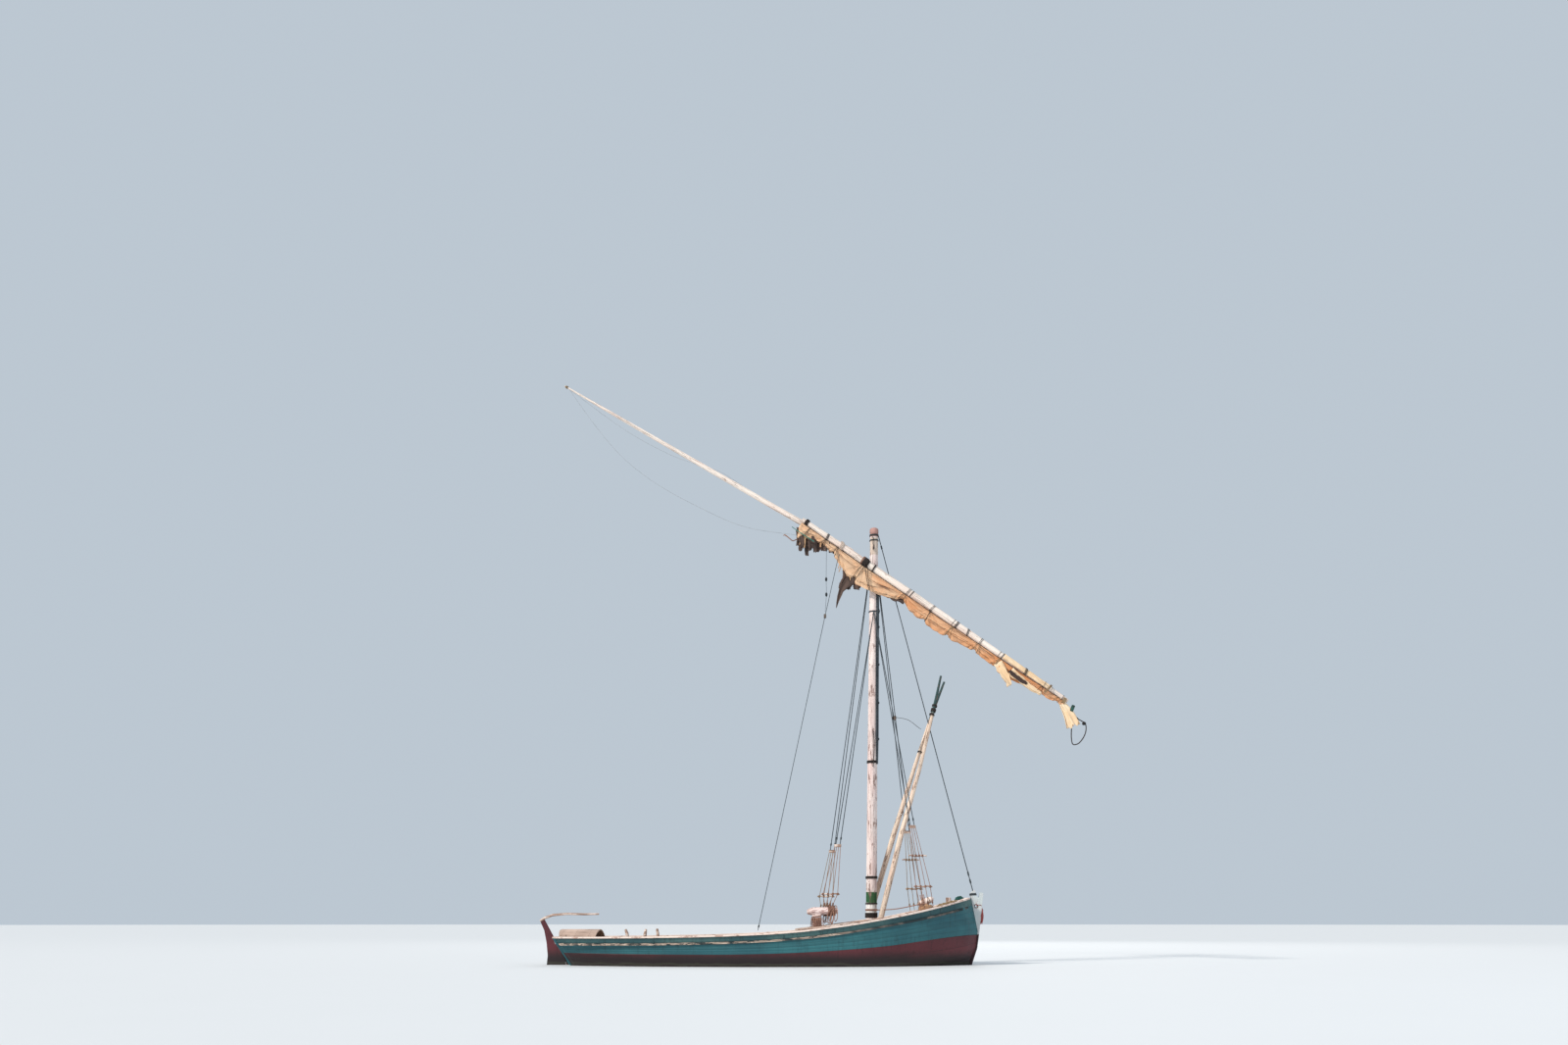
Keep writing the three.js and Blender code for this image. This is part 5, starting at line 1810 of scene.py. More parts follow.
@dataclass(frozen=True)
class Rigging:
    """Shrouds with their racks and lanyards, forestay and the poles.

    Rack columns: x, half-breadth and height of the foot (0 where it is on the rail), height of the tackles,
    heights of the bars, spread of the lanyards. Pole columns: x, y, z (0 on the deck), radius.
    Pole turns: x, z, number of turns, half width.
    """

    racks: tuple = ((1.98, 2.08, 1.8, 3.82, (2.26,), 0.4), (5.27, 0.0, 0.0, 4.47, (2.51, 3.51), 0.9))
    eyes: tuple = ((1, "port", 15.06), (-1, "starboard", 12.3))
    stay_eye: float = 15.25
    stay_foot: Point = (7.075, 0, 2.33)
    rope: float = 0.015
    lanyard: float = 0.011
    pole_rows: tuple = (
        ("port", (
            (3.38, 0.5, 0.0, 0.096), (4.4, 0.23, 4.32, 0.094), (5.19, 0.1, 6.62, 0.07),
            (5.94, 0.09, 8.66, 0.056), (6.38, 0.11, 9.71, 0.038),
        )),
        ("starboard", (
            (3.74, -0.5, 0.0, 0.098), (4.62, -0.25, 4.29, 0.096), (5.36, -0.1, 6.6, 0.072),
            (5.92, -0.09, 8.63, 0.058), (6.24, -0.11, 9.89, 0.038),
        )),
    )
    pole_turns: tuple = (
        (5.93, 8.65, 5, 0.155), (5.98, 8.81, 3, 0.16), (5.87, 8.49, 3, 0.158), (5.4, 7.15, 2, 0.17),
    )

    def build(self) -> None:
        """Builds the standing rigging."""
        for side, word, eye in self.eyes:
            self.shrouds(side, word, eye)
        self.forestay()
        self.poles()

    def shrouds(self, side: int, word: str, eye: float) -> None:
        """Builds one side's legs and lanyards, and the bars that spread them.

        Args:
            side: 1 to port, -1 to starboard.
            word: Name of the side.
            eye: Height of the eye on the mast.
        """
        ropes, lashings, bars = Shape(), Shape(), Shape()
        top = MAST.eye(eye, side)
        ropes.coil(MAST.at(eye), MAST.axis, MAST.radius(eye) + 0.001, 0.0125, 2)
        for x, half, height, tackle, levels, spread in self.racks:
            if height:
                foot = Vector((x, side * half, height))
            else:
                foot = LINES.rail_top(x, side)

            def at(z: float, shift: float) -> Vector:
                """Point of the rack at a height, shifted along the boat."""
                t = (z - foot.z) / (top.z - foot.z)
                return foot.lerp(top, t) + Vector((shift, 0, 0))

            for shift in (-0.07, 0.07):
                path = [at(lerp(tackle, top.z, k / 30), shift * (1 - k / 30)) for k in range(31)]
                ropes.rope(path, self.rope, 8)
                ropes.coil(at(tackle + 0.24, shift), top - foot, 0.016, 0.006, 7)
            block = at(tackle, 0)
            half = Vector((0.115, 0.028, 0.05))
            bars.block(block - half, block + half, 0.018)
            for shift in (-0.24, -0.08, 0.08, 0.24):
                low = at(foot.z + 0.004, shift * spread)
                if not height:
                    low = LINES.rail_top(low.x, side)
                points = [at(tackle - 0.03, shift * 0.4), at(levels[0], shift), low]
                path = straight(points[0], points[1], 12)[:-1] + straight(points[1], points[2], 6)
                lashings.rope(path, self.lanyard)
                for level in levels:
                    near = points[0].lerp(points[1], (points[0].z - level) / (points[0].z - points[1].z))
                    lashings.coil(near, UP, 0.024, 0.007, 5)
                lashings.coil(points[1].lerp(points[2], 0.72), top - foot, 0.013, 0.008, 6)
            for level in levels:
                path = [
                    at(level, lerp(-0.31, 0.31, k / 8)) + UP * (0.012 * sin(k * 1.3)) for k in range(9)
                ]
                bars.tube(path, [0.02, 0.026, 0.025, 0.024, 0.025, 0.026, 0.024, 0.025, 0.02], 10)
        ropes.piece(f"shroud_legs_{word}", DARK_ROPE, replaces=[f"shrouds_{word}"])
        lashings.piece(f"lanyards_{word}", MANILA if side > 0 else RED_ROPE)
        bars.piece(f"shroud_bars_{word}", PALE_TIMBER)

    def forestay(self) -> None:
        """Builds the forestay with its eye, seizings and lashing at the stem head."""
        shape = Shape()
        low = Vector(self.stay_foot)
        high = MAST.at(self.stay_eye) + Vector((MAST.radius(self.stay_eye) + 0.016, 0, 0))
        shape.rope(straight(low, high, 60), 0.017, 8)
        shape.coil(MAST.at(self.stay_eye), MAST.axis, MAST.radius(self.stay_eye) + 0.001, 0.0125, 2)
        for t in (0.03, 0.05, 0.965):
            shape.coil(low.lerp(high, t), high - low, 0.018, 0.007, 9)
        for n in range(3):
            turn = rounded(0.226 - 0.016 * n, 0.204, 0.024, 3)
            centre = Vector((7.058, 0, 2.27 + 0.024 * n))
            ring = [centre + Vector((x, y, 0.05 * x)) for x, y in [*turn, turn[0]]]
            shape.rope(ring, 0.011)
        shape.piece("forestay_rope", DARK_ROPE, replaces=["forestay"])

    def poles(self) -> None:
        """Builds the two poles that lean over the foredeck, lashed together at the forestay."""
        for seed, (word, table) in enumerate(self.pole_rows):
            foot = LINES.deck_z(table[0][0]) - 0.01
            points = [(x, y, z if n else foot) for n, (x, y, z, _) in enumerate(table)]
            path = []
            for a, b in zip(points, points[1:]):
                path += [Vector(a).lerp(Vector(b), k / 14) for k in range(14)]
            path.append(Vector(points[-1]))
            radii = [read([(p[2], r[3]) for p, r in zip(points, table)], p.z) for p in path]

            def knots(share: float, along: float) -> float:
                """Knots and taper of a grown pole."""
                fine = wander(share * 2, along * 4.3, seed)
                return 0.97 + 0.05 * wander(share, along * 1.1, seed) + 0.02 * fine

            shape = Shape().tube(path, radii, 18, wobble=knots)
            shape.piece(f"leaning_pole_{word}", POLE_WASH, replaces=[f"pole_{word}"])
        lash = Shape()
        stay_low, stay_high = Vector(self.stay_foot), MAST.at(self.stay_eye) + Vector((0.166, 0, 0))
        axis = Vector((0.3, 0, 0.95))
        for x, z, turns, reach in self.pole_turns:
            self.oval(lash, Vector((x, 0.0, z)), axis, reach, 0.012, turns)
        lash.coil(stay_low.lerp(stay_high, 0.443), stay_high - stay_low, 0.019, 0.009, 8)
        lash.piece("pole_lashing", BLACK_ROPE)

    @staticmethod
    def oval(shape: Shape, centre: Vector, axis: Vector, reach: float, thick: float, turns: int) -> None:
        """Winds rope round two poles side by side.

        Args:
            shape: Shape that takes the rope.
            centre: Middle of the winding.
            axis: Direction of the poles.
            reach: Half the winding's width across the boat.
            thick: Radius of the rope.
            turns: Number of turns.
        """
        direction = axis.normalized()
        fore = ACROSS.cross(direction).normalized()
        path = []
        for k in range(turns * 20 + 1):
            angle = TAU * k / 20
            lift = direction * (2.1 * thick * (k / 20 - turns / 2))
            path.append(centre + lift + Vector((0, reach * cos(angle), 0)) + fore * (0.085 * sin(angle)))
        shape.rope(path, thick)


@dataclass(frozen=True)
class YardLine:
    """The yard's own line: distances run from the sling, positive towards the heel.

    The patched stretch of the lower spar is wrapped in cloth.
    """

    x: float = 3.896795
    y: float = -0.358
    z: float = 13.85
    slope: float = 0.625
    lower: tuple = ((-3.3, 0.1), (-2.0, 0.124), (0.0, 0.145), (3.2, 0.145), (6.0, 0.12), (8.42, 0.086))
    patched: tuple[float, float] = (5.66, 7.6)
    upper_y: float = -0.096
    upper: tuple = (
        (-8.07, 21.39, 0.034), (-5.6, 19.88, 0.066), (-2.2, 17.806, 0.096), (1.1, 15.805, 0.114),
        (3.1, 14.59, 0.118),
    )

    @property
    def direction(self) -> Vector:
        """Unit vector down the yard, towards the heel."""
        return Vector((cos(self.slope), 0, -sin(self.slope)))

    @property
    def under(self) -> Vector:
        """Unit vector square to the yard, downwards."""
        return Vector((-sin(self.slope), 0, -cos(self.slope)))

    def at(self, s: float, drop: float = 0.0, y: float | None = None) -> Vector:
        """Point beside the yard.

        Args:
            s: Distance along it from the sling.
            drop: Distance under its axis.
            y: Place across the boat, or None for the lower spar's own.

        Returns:
            The point.
        """
        spot = Vector((self.x, self.y, self.z)) + self.direction * s + self.under * drop
        return spot if y is None else Vector((spot.x, y, spot.z))


YARD = YardLine()


@dataclass(frozen=True)
class Yard:
    """The two spars of the yard, their lashings, sling, jackstay and the lines at the peak."""

    lashings: tuple[float, ...] = (-3.08, -1.5)
    robands: tuple[float, ...] = (
        -2.15, -1.52, 1.5, 1.66, 2.55, 3.5, 3.62, 4.11, 4.68, 5.5, 5.63, 6.6, 7.42, 7.72, 8.2,
    )

    def build(self) -> None:
        """Builds the yard."""
        self.spars()
        self.joint_lashings()
        self.sling()
        self.turns()
        self.peak_lines()

    def spars(self) -> None:
        """Builds both spars, slightly crooked and knotted."""
        def knots(share: float, along: float) -> float:
            """Knots and flats of a grown spar."""
            return 0.98 + 0.03 * wander(share, along * 0.9, 4)

        stops = [lerp(YARD.lower[0][0], YARD.lower[-1][0], k / 60) for k in range(61)]
        path = [YARD.at(s) for s in stops]
        radii = [read(YARD.lower, s) for s in stops]
        radii[0], radii[-1] = radii[0] * 0.86, radii[-1] * 0.8
        Shape().tube(path, radii, 26, wobble=knots).piece(
            "lower_spar", LIMEWASH, Body.YARD, ["yard_lower_spar"]
        )
        path, radii = [], []
        for a, b in zip(YARD.upper, YARD.upper[1:]):
            for k in range(14):
                x, z, r = (lerp(p, q, k / 14) for p, q in zip(a, b))
                path.append(Vector((x, YARD.upper_y, z)))
                radii.append(r)
        x, z, r = YARD.upper[-1]
        path.append(Vector((x, YARD.upper_y, z)))
        radii.append(r * 0.9)
        Shape().tube(path, radii, 22, wobble=knots).piece(
            "upper_spar", LIMEWASH, Body.YARD, ["yard_upper_spar"]
        )

    def upper_at(self, x: float) -> Vector:
        """Point of the upper spar's axis at x."""
        return Vector((x, YARD.upper_y, read([(a, b) for a, b, _ in YARD.upper], x)))

    def joint_lashings(self) -> None:
        """Builds the rope that binds the two spars where they lie side by side."""
        for n, s in enumerate(self.lashings):
            shape = Shape()
            for layer, (turns, extra) in enumerate(((7, 0.0), (5, 0.018))):
                one = YARD.at(s)
                two = self.upper_at(one.x)
                side = (two - one).normalized()
                normal = YARD.direction.cross(side).normalized()
                reach = 0.128 if n else 0.116
                path = []
                for k in range(turns * 24 + 1):
                    angle = TAU * k / 24 + layer
                    centre = two if cos(angle) > 0 else one
                    radius = (reach if centre is two else read(YARD.lower, s)) + 0.012 + extra
                    lift = YARD.direction * (0.021 * (k / 24 - turns / 2))
                    spoke = side * (cos(angle) * radius) + normal * (sin(angle) * radius)
                    path.append(centre + lift + spoke)
                shape.rope(path, 0.0105)
            finish = LIMED_ROPE if n else BLACK_ROPE
            shape.piece(f"joint_lashing_{n + 1}", finish, Body.YARD, [f"spar_lashing_{n + 1}"])

    def sling(self) -> None:
        """Builds the heavy sling on the yard and the parrel rope round the mast."""
        shape = Shape()
        for s, turns, extra in ((-0.4, 9, 0.0), (-0.42, 6, 0.028), (-0.02, 2, 0.0)):
            shape.coil(YARD.at(s), YARD.direction, read(YARD.lower, s) + extra, 0.015, turns)
        for n in range(2):
            drop = [
                (3.52 + 0.1 * n, -0.56, 14.02), (3.55 + 0.07 * n, -0.6, 13.7),
                (3.6 + 0.05 * n, -0.585, 13.3), (3.66 + 0.04 * n, -0.57, 12.98),
            ]
            shape.rope(curved(drop, 20), 0.013)
        shape.piece("sling_turns", BLACK_ROPE, Body.YARD)
        wrap = Shape()
        wrap.coil(YARD.at(-0.52, -0.01), YARD.direction, read(YARD.lower, -0.5) + 0.012, 0.017, 3)
        wrap.piece("sling_wrap", RED_ROPE, Body.YARD)
        ring = Shape()
        for n in range(7):
            z = 13.69 + n * 0.038
            ring.coil(MAST.at(z), MAST.axis, MAST.radius(z) + 0.01, 0.0155, 1.06, 0.004)
        boss = [Vector((3.897, y, 13.85)) for y in (-0.185, -0.19, -0.2, -0.211, -0.213)]
        ring.tube(boss, [0.05, 0.058, 0.058, 0.056, 0.05], 16)
        ring.piece("parrel_rope", DARK_ROPE, Body.PARREL, ["parrel"])

    def turns(self) -> None:
        """Builds the robands that bend the sail to the spar, and the jackstay under it."""
        shape = Shape()
        rng = Random(21)
        for s in self.robands:
            radius = read(YARD.lower, s) + (0.03 if YARD.patched[0] < s < YARD.patched[1] else 0.0)
            slant = YARD.direction + YARD.under * rng.uniform(-0.25, 0.25)
            for n in range(rng.choice((1, 2, 2))):
                centre = YARD.at(s + n * 0.05)
                shape.coil(centre, slant, radius + 0.004, 0.0065, rng.choice((1.1, 1.6)), 0.02)
        path = []
        for k in range(120):
            s = lerp(-2.95, 8.3, k / 119)
            path.append(YARD.at(s, read(YARD.lower, s) + 0.004 + 0.012 * sin(k * 0.9) ** 2, YARD.y - 0.07))
        shape.rope(path, 0.012)
        shape.piece("robands", BLACK_ROPE, Body.YARD)

    def peak_lines(self) -> None:
        """Builds the truck at the peak and the two slack lines that hang from it."""
        tip = Vector((-7.98, YARD.upper_y, 21.335))
        cap = Shape()
        ends = [Vector((x, YARD.upper_y, z)) for x, z in ((-8.075, 21.393), (-7.99, 21.342))]
        cap.tube(ends, [0.03, 0.042], 14)
        cap.coil(tip, Vector((1, 0, -0.61)), 0.038, 0.009, 4)
        cap.piece("peak_truck", MANILA, Body.YARD)
        start = (tip.x + 0.1, tip.y - 0.02, tip.z - 0.1)
        y = -0.12
        lines = (
            ("peak_line_short", 0.006, (
                (-5.6, y, 19.5), (-3.92, y, 18.53), (-2.86, y, 18.11), (-1.9, y - 0.02, 17.78),
                (-1.08, y - 0.02, 17.235),
            )),
            ("peak_line_long", 0.007, (
                (-6.9, y, 19.84), (-5.69, y - 0.1, 18.37), (-4.34, y - 0.2, 17.25), (-2.74, y - 0.28, 16.3),
                (-0.95, y - 0.32, 15.48), (1.02, y - 0.34, 15.14),
            )),
        )
        for name, radius, rest in lines:
            path = curved([start, *rest], 36)
            made = Shape().rope(path, radius).piece(name, PALE_LINE, Body.YARD)
            length_of(path)


@dataclass(frozen=True)
class RunningLines:
    """Lines that work the sail, and the rope about the foredeck.

    Rail rope columns: where it starts and ends, distance in from the rail's middle, height over the rail.
    """

    vang_top: Point = (2.58, -0.47, 14.4)
    vang_block: Point = (2.03, -0.6, 12.0)
    vang_foot: Point = (-0.32, -2.12, 1.12)
    rack_side: float = -2.0
    rail_ropes: tuple = ((5.6, 6.36, 0.0, 0.019), (5.66, 6.3, 0.048, 0.019), (5.7, 6.2, 0.026, 0.05))

    def build(self) -> None:
        """Builds them."""
        self.vang()
        self.shroud_block()
        self.foredeck()

    def vang(self) -> None:
        """Builds the line that holds the sail down to the rail, in two parts that meet at a small block."""
        rope = 0.011
        top, block, foot = (Vector(p) for p in (self.vang_top, self.vang_block, self.vang_foot))
        low = Shape().rope(straight(foot, block, 30), rope, 7)
        low.coil(foot.lerp(block, 0.012), block - foot, rope, 0.008, 5)
        made = low.piece("vang_fall", DARK_ROPE, None)
        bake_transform(made, "hull", "parrel", start=tuple(foot), end=tuple(block))
        high = Shape().rope(straight(block, top, 12), rope, 7)
        line = [
            (2.12, -0.47, 14.72), (2.1, -0.55, 13.9), (2.09, -0.57, 13.4), (2.09, -0.58, 12.82),
            (2.04, -0.59, 12.17),
        ]
        high.rope(curved(line, 24), 0.007)
        for z in (13.4, 12.82):
            high.ball((2.09, -0.57, z), (0.045, 0.035, 0.085), 0.1, 2)
        made = high.piece("vang_pennant", DARK_ROPE, None)
        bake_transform(made, "parrel", "yard", start=tuple(block), end=tuple(top))
        half = Vector((0.045, 0.03, 0.08))
        shell = Shape().block(block - half, block + half, 0.02)
        shell.piece("vang_block", DARK_TIMBER, Body.PARREL)

    def shroud_block(self) -> None:
        """Builds the block on the fore shrouds and the thin line from it to a toggle at the poles."""
        foot, top = LINES.rail_top(5.27, -1), MAST.eye(12.3, -1)
        spot = foot.lerp(top, (8.25 - foot.z) / (top.z - foot.z))
        block = Shape().ball(spot + Vector((0.07, -0.03, 0)), (0.045, 0.035, 0.09), 0.08, 3)
        block.piece("shroud_block", DARK_TIMBER)
        lines = Shape()
        start = spot + Vector((0.08, -0.03, 0.03))
        line = [start, (4.95, -0.55, 8.22), (5.3, -0.4, 8.0), (5.42, -0.3, 7.93)]
        lines.rope(curved(line, 24), 0.008)
        lines.coil(spot, top - foot, 0.018, 0.008, 6)
        strop = [(3.72, -0.21, 7.9), (3.75, -0.22, 7.5), (3.73, -0.225, 7.0), (3.69, -0.2, 6.62)]
        lines.rope(curved(strop, 20), 0.016, 7)
        lines.piece("fore_lines", BLACK_ROPE)

    def foredeck(self) -> None:
        """Builds the guy from mast to fore rack, and the rope laid in waves along the rail at the bow."""
        guy = Shape()
        end = (5.16, self.rack_side + 0.12, 1.97)
        guy.rope(curved([(3.62, -0.19, 1.77), (4.3, -0.95, 1.8), end], 24), 0.016, 7)
        guy.coil(MAST.at(1.775), MAST.axis, MAST.radius(1.775), 0.014, 2)
        for n in range(4):
            side = LINES.rail_top(5.04 + 0.04 * n, -1)
            steps = ((0, 0.02, 0.5), (0.04, -0.03, 0.3), (-0.02, 0.02, 0.12))
            loop = [side + Vector(step) for step in steps]
            guy.rope(curved(loop, 12), 0.012)
        guy.piece("mast_guy", RED_ROPE)
        for n, (low, high, inward, lift) in enumerate(self.rail_ropes):
            path = []
            for k in range(41):
                x = lerp(low, high, k / 40)
                spot = LINES.rail_top(x, -1, inward + 0.012 * sin(x * 19 + n * 2))
                path.append(spot + UP * (lift + 0.01 * sin(x * 23 + n) ** 2))
            name = f"rail_rope_{n + 1}"
            shape = Shape().tube(path, [0.019] * 39 + [0.024, 0.012], 8, unit=0.038)
            made = shape.piece(name, MANILA)
            length_of(path)


@dataclass(frozen=True)
class Sail:
    """The sail furled along the yard in lashed bellies, and the cloth that hangs out of it.

    Roll columns: distance along the yard, depth under the spar, half width.
    """

    roll: tuple = (
        (-3.23, 0.24, 0.07), (-3.02, 0.6, 0.12), (-2.56, 0.3, 0.125), (-1.9, 0.28, 0.125),
        (-1.3, 0.43, 0.13), (-0.7, 0.69, 0.15), (-0.05, 0.72, 0.16), (0.55, 0.6, 0.16), (1.1, 0.4, 0.15),
        (1.55, 0.25, 0.12),
        (2.0, 0.41, 0.165), (2.8, 0.5, 0.18), (3.6, 0.48, 0.175), (4.3, 0.35, 0.15), (5.2, 0.34, 0.15),
        (6.0, 0.45, 0.15), (6.45, 0.4, 0.13), (7.0, 0.28, 0.125), (7.7, 0.24, 0.115), (8.35, 0.17, 0.08),
    )
    start: float = -3.23
    end: float = 8.35
    y: float = -0.38
    ties: tuple[float, ...] = (-2.87, -2.15, -1.6, -0.42, 1.46, 2.55, 3.58, 4.68, 5.63, 7.42, 8.1)
    hem_spans: tuple[tuple[float, float], ...] = (
        (-2.8, -0.6), (-1.6, 1.4), (-0.4, 1.45), (-0.3, 1.4), (1.5, 4.6), (1.7, 4.5), (4.7, 7.3), (5.7, 8.1),
    )
    pale_ties: tuple[int, ...] = (6, 7, 8, 10)
    full_ties: tuple[int, ...] = (1, 6, 8)
    widest: float = 0.155
    wraps: float = 6.0
    ticks: int = 14
    cap: float = 0.035
    pressure: float = 1.2

    def build(self) -> None:
        """Builds the roll, its ties and the loose cloth."""
        self.bundle()
        self.hems()
        self.gaskets()
        self.patch()
        self.tuft()
        self.flap()
        self.hanging_corner()
        self.heel()

    def pinch(self, s: float) -> float:
        """How tightly the roll is drawn in at s, from 0 to 1."""
        return max(exp(-(((s - tie) / 0.08) ** 2)) for tie in self.ties)

    def relief(self, s: float, share: float) -> tuple[float, float]:
        """Wraps and creases of the cloth at a place on the roll.

        Args:
            s: Distance along the yard.
            share: Share of the way round, from the spar.

        Returns:
            How far the cloth stands in from its fullest, and how deep in a fold it lies, both 0 to 1; the
            second is kept as painted shade.
        """
        drift = noise.noise(Vector((s * 0.45, cos(TAU * share), 3.0)))
        wind = (share * self.wraps + 0.5 * sin(s * 0.75) + 0.9 * drift) % 1.0
        lap = wind / 0.86 if wind < 0.86 else (1 - wind) / 0.14
        valley = exp(-wind / 0.13) + exp(-(1 - wind) / 0.03)
        rays = 0.0
        down = 0.02 + 0.5 * (1 - cos(TAU * share)) / 2
        for tie in self.ties:
            reach = hypot(s - tie, down)
            if reach < 1.6:
                angle = atan2(down, s - tie)
                fade = exp(-reach / 0.55) * min(1.0, abs(s - tie) / 0.1)
                rays += (1 - abs(sin(angle * 7 + tie)) ** 0.6) * fade
        inner = 0.55 * (1 - lap) + 0.75 * min(1.0, rays)
        return min(1.0, inner), min(1.0, 0.8 * valley + 0.7 * rays)

    def ring_point(self, s: float, share: float, out: float = 0.0) -> Vector:
        """A point of the roll's surface.

        Args:
            s: Distance along the yard.
            share: Share of the way round, from the spar.
            out: Distance outside the cloth.

        Returns:
            The point.
        """
        depth, half = smooth_read(self.roll, s, 1), smooth_read(self.roll, s, 2)
        top = read(YARD.lower, s) + 0.0015
        angle = TAU * share
        lower = (1 - cos(angle)) / 2
        crumple = noise.noise(Vector((s * 3.5, cos(angle) * 2.2, sin(angle) * 2.2)))
        shape = 1.0 - 0.27 * self.relief(s, share)[0] * (0.3 + 0.7 * lower) + 0.05 * min(0.0, crumple)
        shape *= 1 - 0.22 * self.pinch(s) * lower
        drop = top + depth * lower * shape + out * -cos(angle)
        wide = half * sin(angle) * shape + out * sin(angle)
        return YARD.at(s, drop, self.y - min(wide, self.widest))

    def bundle(self) -> None:
        """Builds the roll of cloth, lets it fill a little between its ties, and keeps its fold depths as
        painted shade in its folds.
        """
        rings, sides = 380, 66
        path = [YARD.at(lerp(self.start, self.end, k / rings), 0.0, self.y) for k in range(rings + 1)]
        shape = Shape().tube(path, 0.17, sides)
        shade = shape.bm.verts.layers.float.new("shade")
        for vert in shape.bm.verts:
            s, share = vert[shape.along] + self.start, vert[shape.around]
            # Painted shade: the fold depth darkens the cloth in its valleys and round the ties.
            vert[shade] = self.relief(s, share)[1]
            vert.co = self.ring_point(s, share)
        held = [vert.index for vert in shape.bm.verts if self.stays(vert[shape.along], vert[shape.around])]
        made = shape.piece("sail_roll", SAIL, Body.YARD, ["furled_sail"], 80)
        billow(made, self.cap, self.pressure, held, self.ticks)

    def stays(self, along: float, share: float) -> bool:
        """Whether a point of the roll is held, by a tie, at an end or against the spar.

        Args:
            along: Distance from the roll's start.
            share: Share of the way round it.

        Returns:
            True where the point is held.
        """
        s = along + self.start
        free = min(s - self.start, self.end - s) > 0.05 and self.pinch(s) < 0.25
        return not free or min(share, 1 - share) < 0.12

    def hems(self) -> None:
        """Builds the rolled edges of cloth that wind along the roll."""
        shape = Shape()
        rng = Random(5)
        for low, high in self.hem_spans:
            first = rng.uniform(0.17, 0.45)
            last = first + rng.uniform(-0.08, 0.12)
            sway = rng.uniform(0.02, 0.05)
            path, radii = [], []
            for k in range(61):
                t = k / 60
                share = lerp(first, last, t) + sway * sin(t * 5 + low)
                path.append(self.ring_point(lerp(low, high, t), share, -0.004))
                radii.append(0.003 + 0.008 * max(0.0, sin(pi * t)) ** 0.5)
            shape.tube(path, radii, 8)
        made = shape.piece("sail_hems", SAIL_PALE, Body.YARD)

    def gaskets(self) -> None:
        """Builds the thin lines that tie the roll, some of them slanting."""
        shape, pale = Shape(), Shape()
        rng = Random(33)
        for n, tie in enumerate(self.ties):
            taker = pale if n in self.pale_ties else shape
            for _ in range(3 if n in self.full_ties else 2):
                shift, slant = rng.uniform(-0.05, 0.05), rng.uniform(-0.12, 0.12)
                path = []
                for k in range(41):
                    share = min(0.985, max(0.015, k / 40))
                    s = tie + shift + slant * sin(share * pi)
                    path.append(self.ring_point(s, share, 0.02))
                taker.rope(path, 0.0085)
        shape.piece("sail_gaskets", BLACK_ROPE, Body.YARD)
        pale.piece("sail_gaskets_pale", MANILA, Body.YARD)

    def patch(self) -> None:
        """Builds the pale patch of cloth that is lashed over the spar towards its heel."""
        def place(a: float, b: float) -> Charted:
            """Point and UV of the patch.

            Args:
                a: Share of the way along the spar.
                b: Share of the way round it.

            Returns:
                The point and its UV pair.
            """
            s = lerp(*YARD.patched, a) + 0.03 * sin(b * 7)
            angle = lerp(-2.3, 2.2, b)
            lump = abs(noise.noise(Vector((s * 3, b * 5, 1.0))))
            bulge = 0.006 + 0.022 * lump + 0.01 * sin(b * 23 + s) ** 2
            radius = read(YARD.lower, s) + bulge
            spot = YARD.at(s, -cos(angle) * radius) + Vector((0, sin(angle) * radius, 0))
            return spot, (b * 0.6, a * 1.95)

        made = Shape().sheet(50, 40, place).piece("spar_patch", PATCH, Body.YARD)
        thicken(made)

    def strips(self, name: str, rows: Sequence[Strip], finish: Finish, seed: int) -> None:
        """Builds torn strips of one cloth that hang out of the roll.

        Args:
            name: Name of the piece.
            rows: For each strip the points down its middle, its width at the top and at the tip.
            finish: Its finish.
            seed: Seed of its ripples and torn ends.
        """
        shape = Shape()
        widths = area = longest = 0.0
        for n, (points, top, tip) in enumerate(rows):
            spine = curved(points, 24)
            fall = length_of(spine)
            turn = seed * 3.1 + n * 1.7

            def place(a: float, b: float) -> Charted:
                """Point and UV of one strip.

                Args:
                    a: Share of the way across.
                    b: Share of the way down.

                Returns:
                    The point and its UV pair.
                """
                i, centre = step_at(spine, b)
                wide = lerp(top, tip, b)
                ripple = 0.14 * wide * sin(a * 7 + turn + b * 4) * (0.3 + b)
                rag = noise.noise(Vector((a * 9 * wide / 0.15, turn, 0.5)))
                torn = 0.16 * fall * max(0.0, b - 0.6) * rag
                edge = 0.2 * wide * noise.noise(Vector((b * 7, turn + (4 if a > 0.5 else 0), 2.5)))
                across = (spine[i] - spine[i + 1]).cross(ACROSS).normalized()
                across *= (a - 0.5) * wide + edge * (2 * abs(a - 0.5))
                return centre + across + Vector((0, ripple, -torn)), (a * wide, b * fall)

            shape.sheet(10, 24, place)
            widths += (top + tip) / 2
            longest = max(longest, fall)
            area += (top + tip) / 2 * fall
        made = shape.piece(name, finish, Body.YARD)
        thicken(made)

    def hanging(self, spots: Sequence[tuple[float, ...]]) -> list[Strip]:
        """Strips that hang straight down from the roll.

        Args:
            spots: For each strip its distance along the yard, depth under the spar, fall, width at the top
                and drift aft of its tip.

        Returns:
            The rows for strips.
        """
        rows = []
        for n, (s, drop, fall, width, drift) in enumerate(spots):
            top = YARD.at(s, drop, self.y - 0.05 * (n % 3) + 0.04)
            middle = top + Vector((-0.3 * drift, 0.02 * (n % 2), -0.5 * fall))
            rows.append(((top, middle, top + Vector((-drift, 0, -fall))), width, width * 0.45))
        return rows

    def tuft(self) -> None:
        """Builds the ragged strips, the dark ones coloured with painted shade, the stick and the frayed end
        under the roll's upper end.
        """
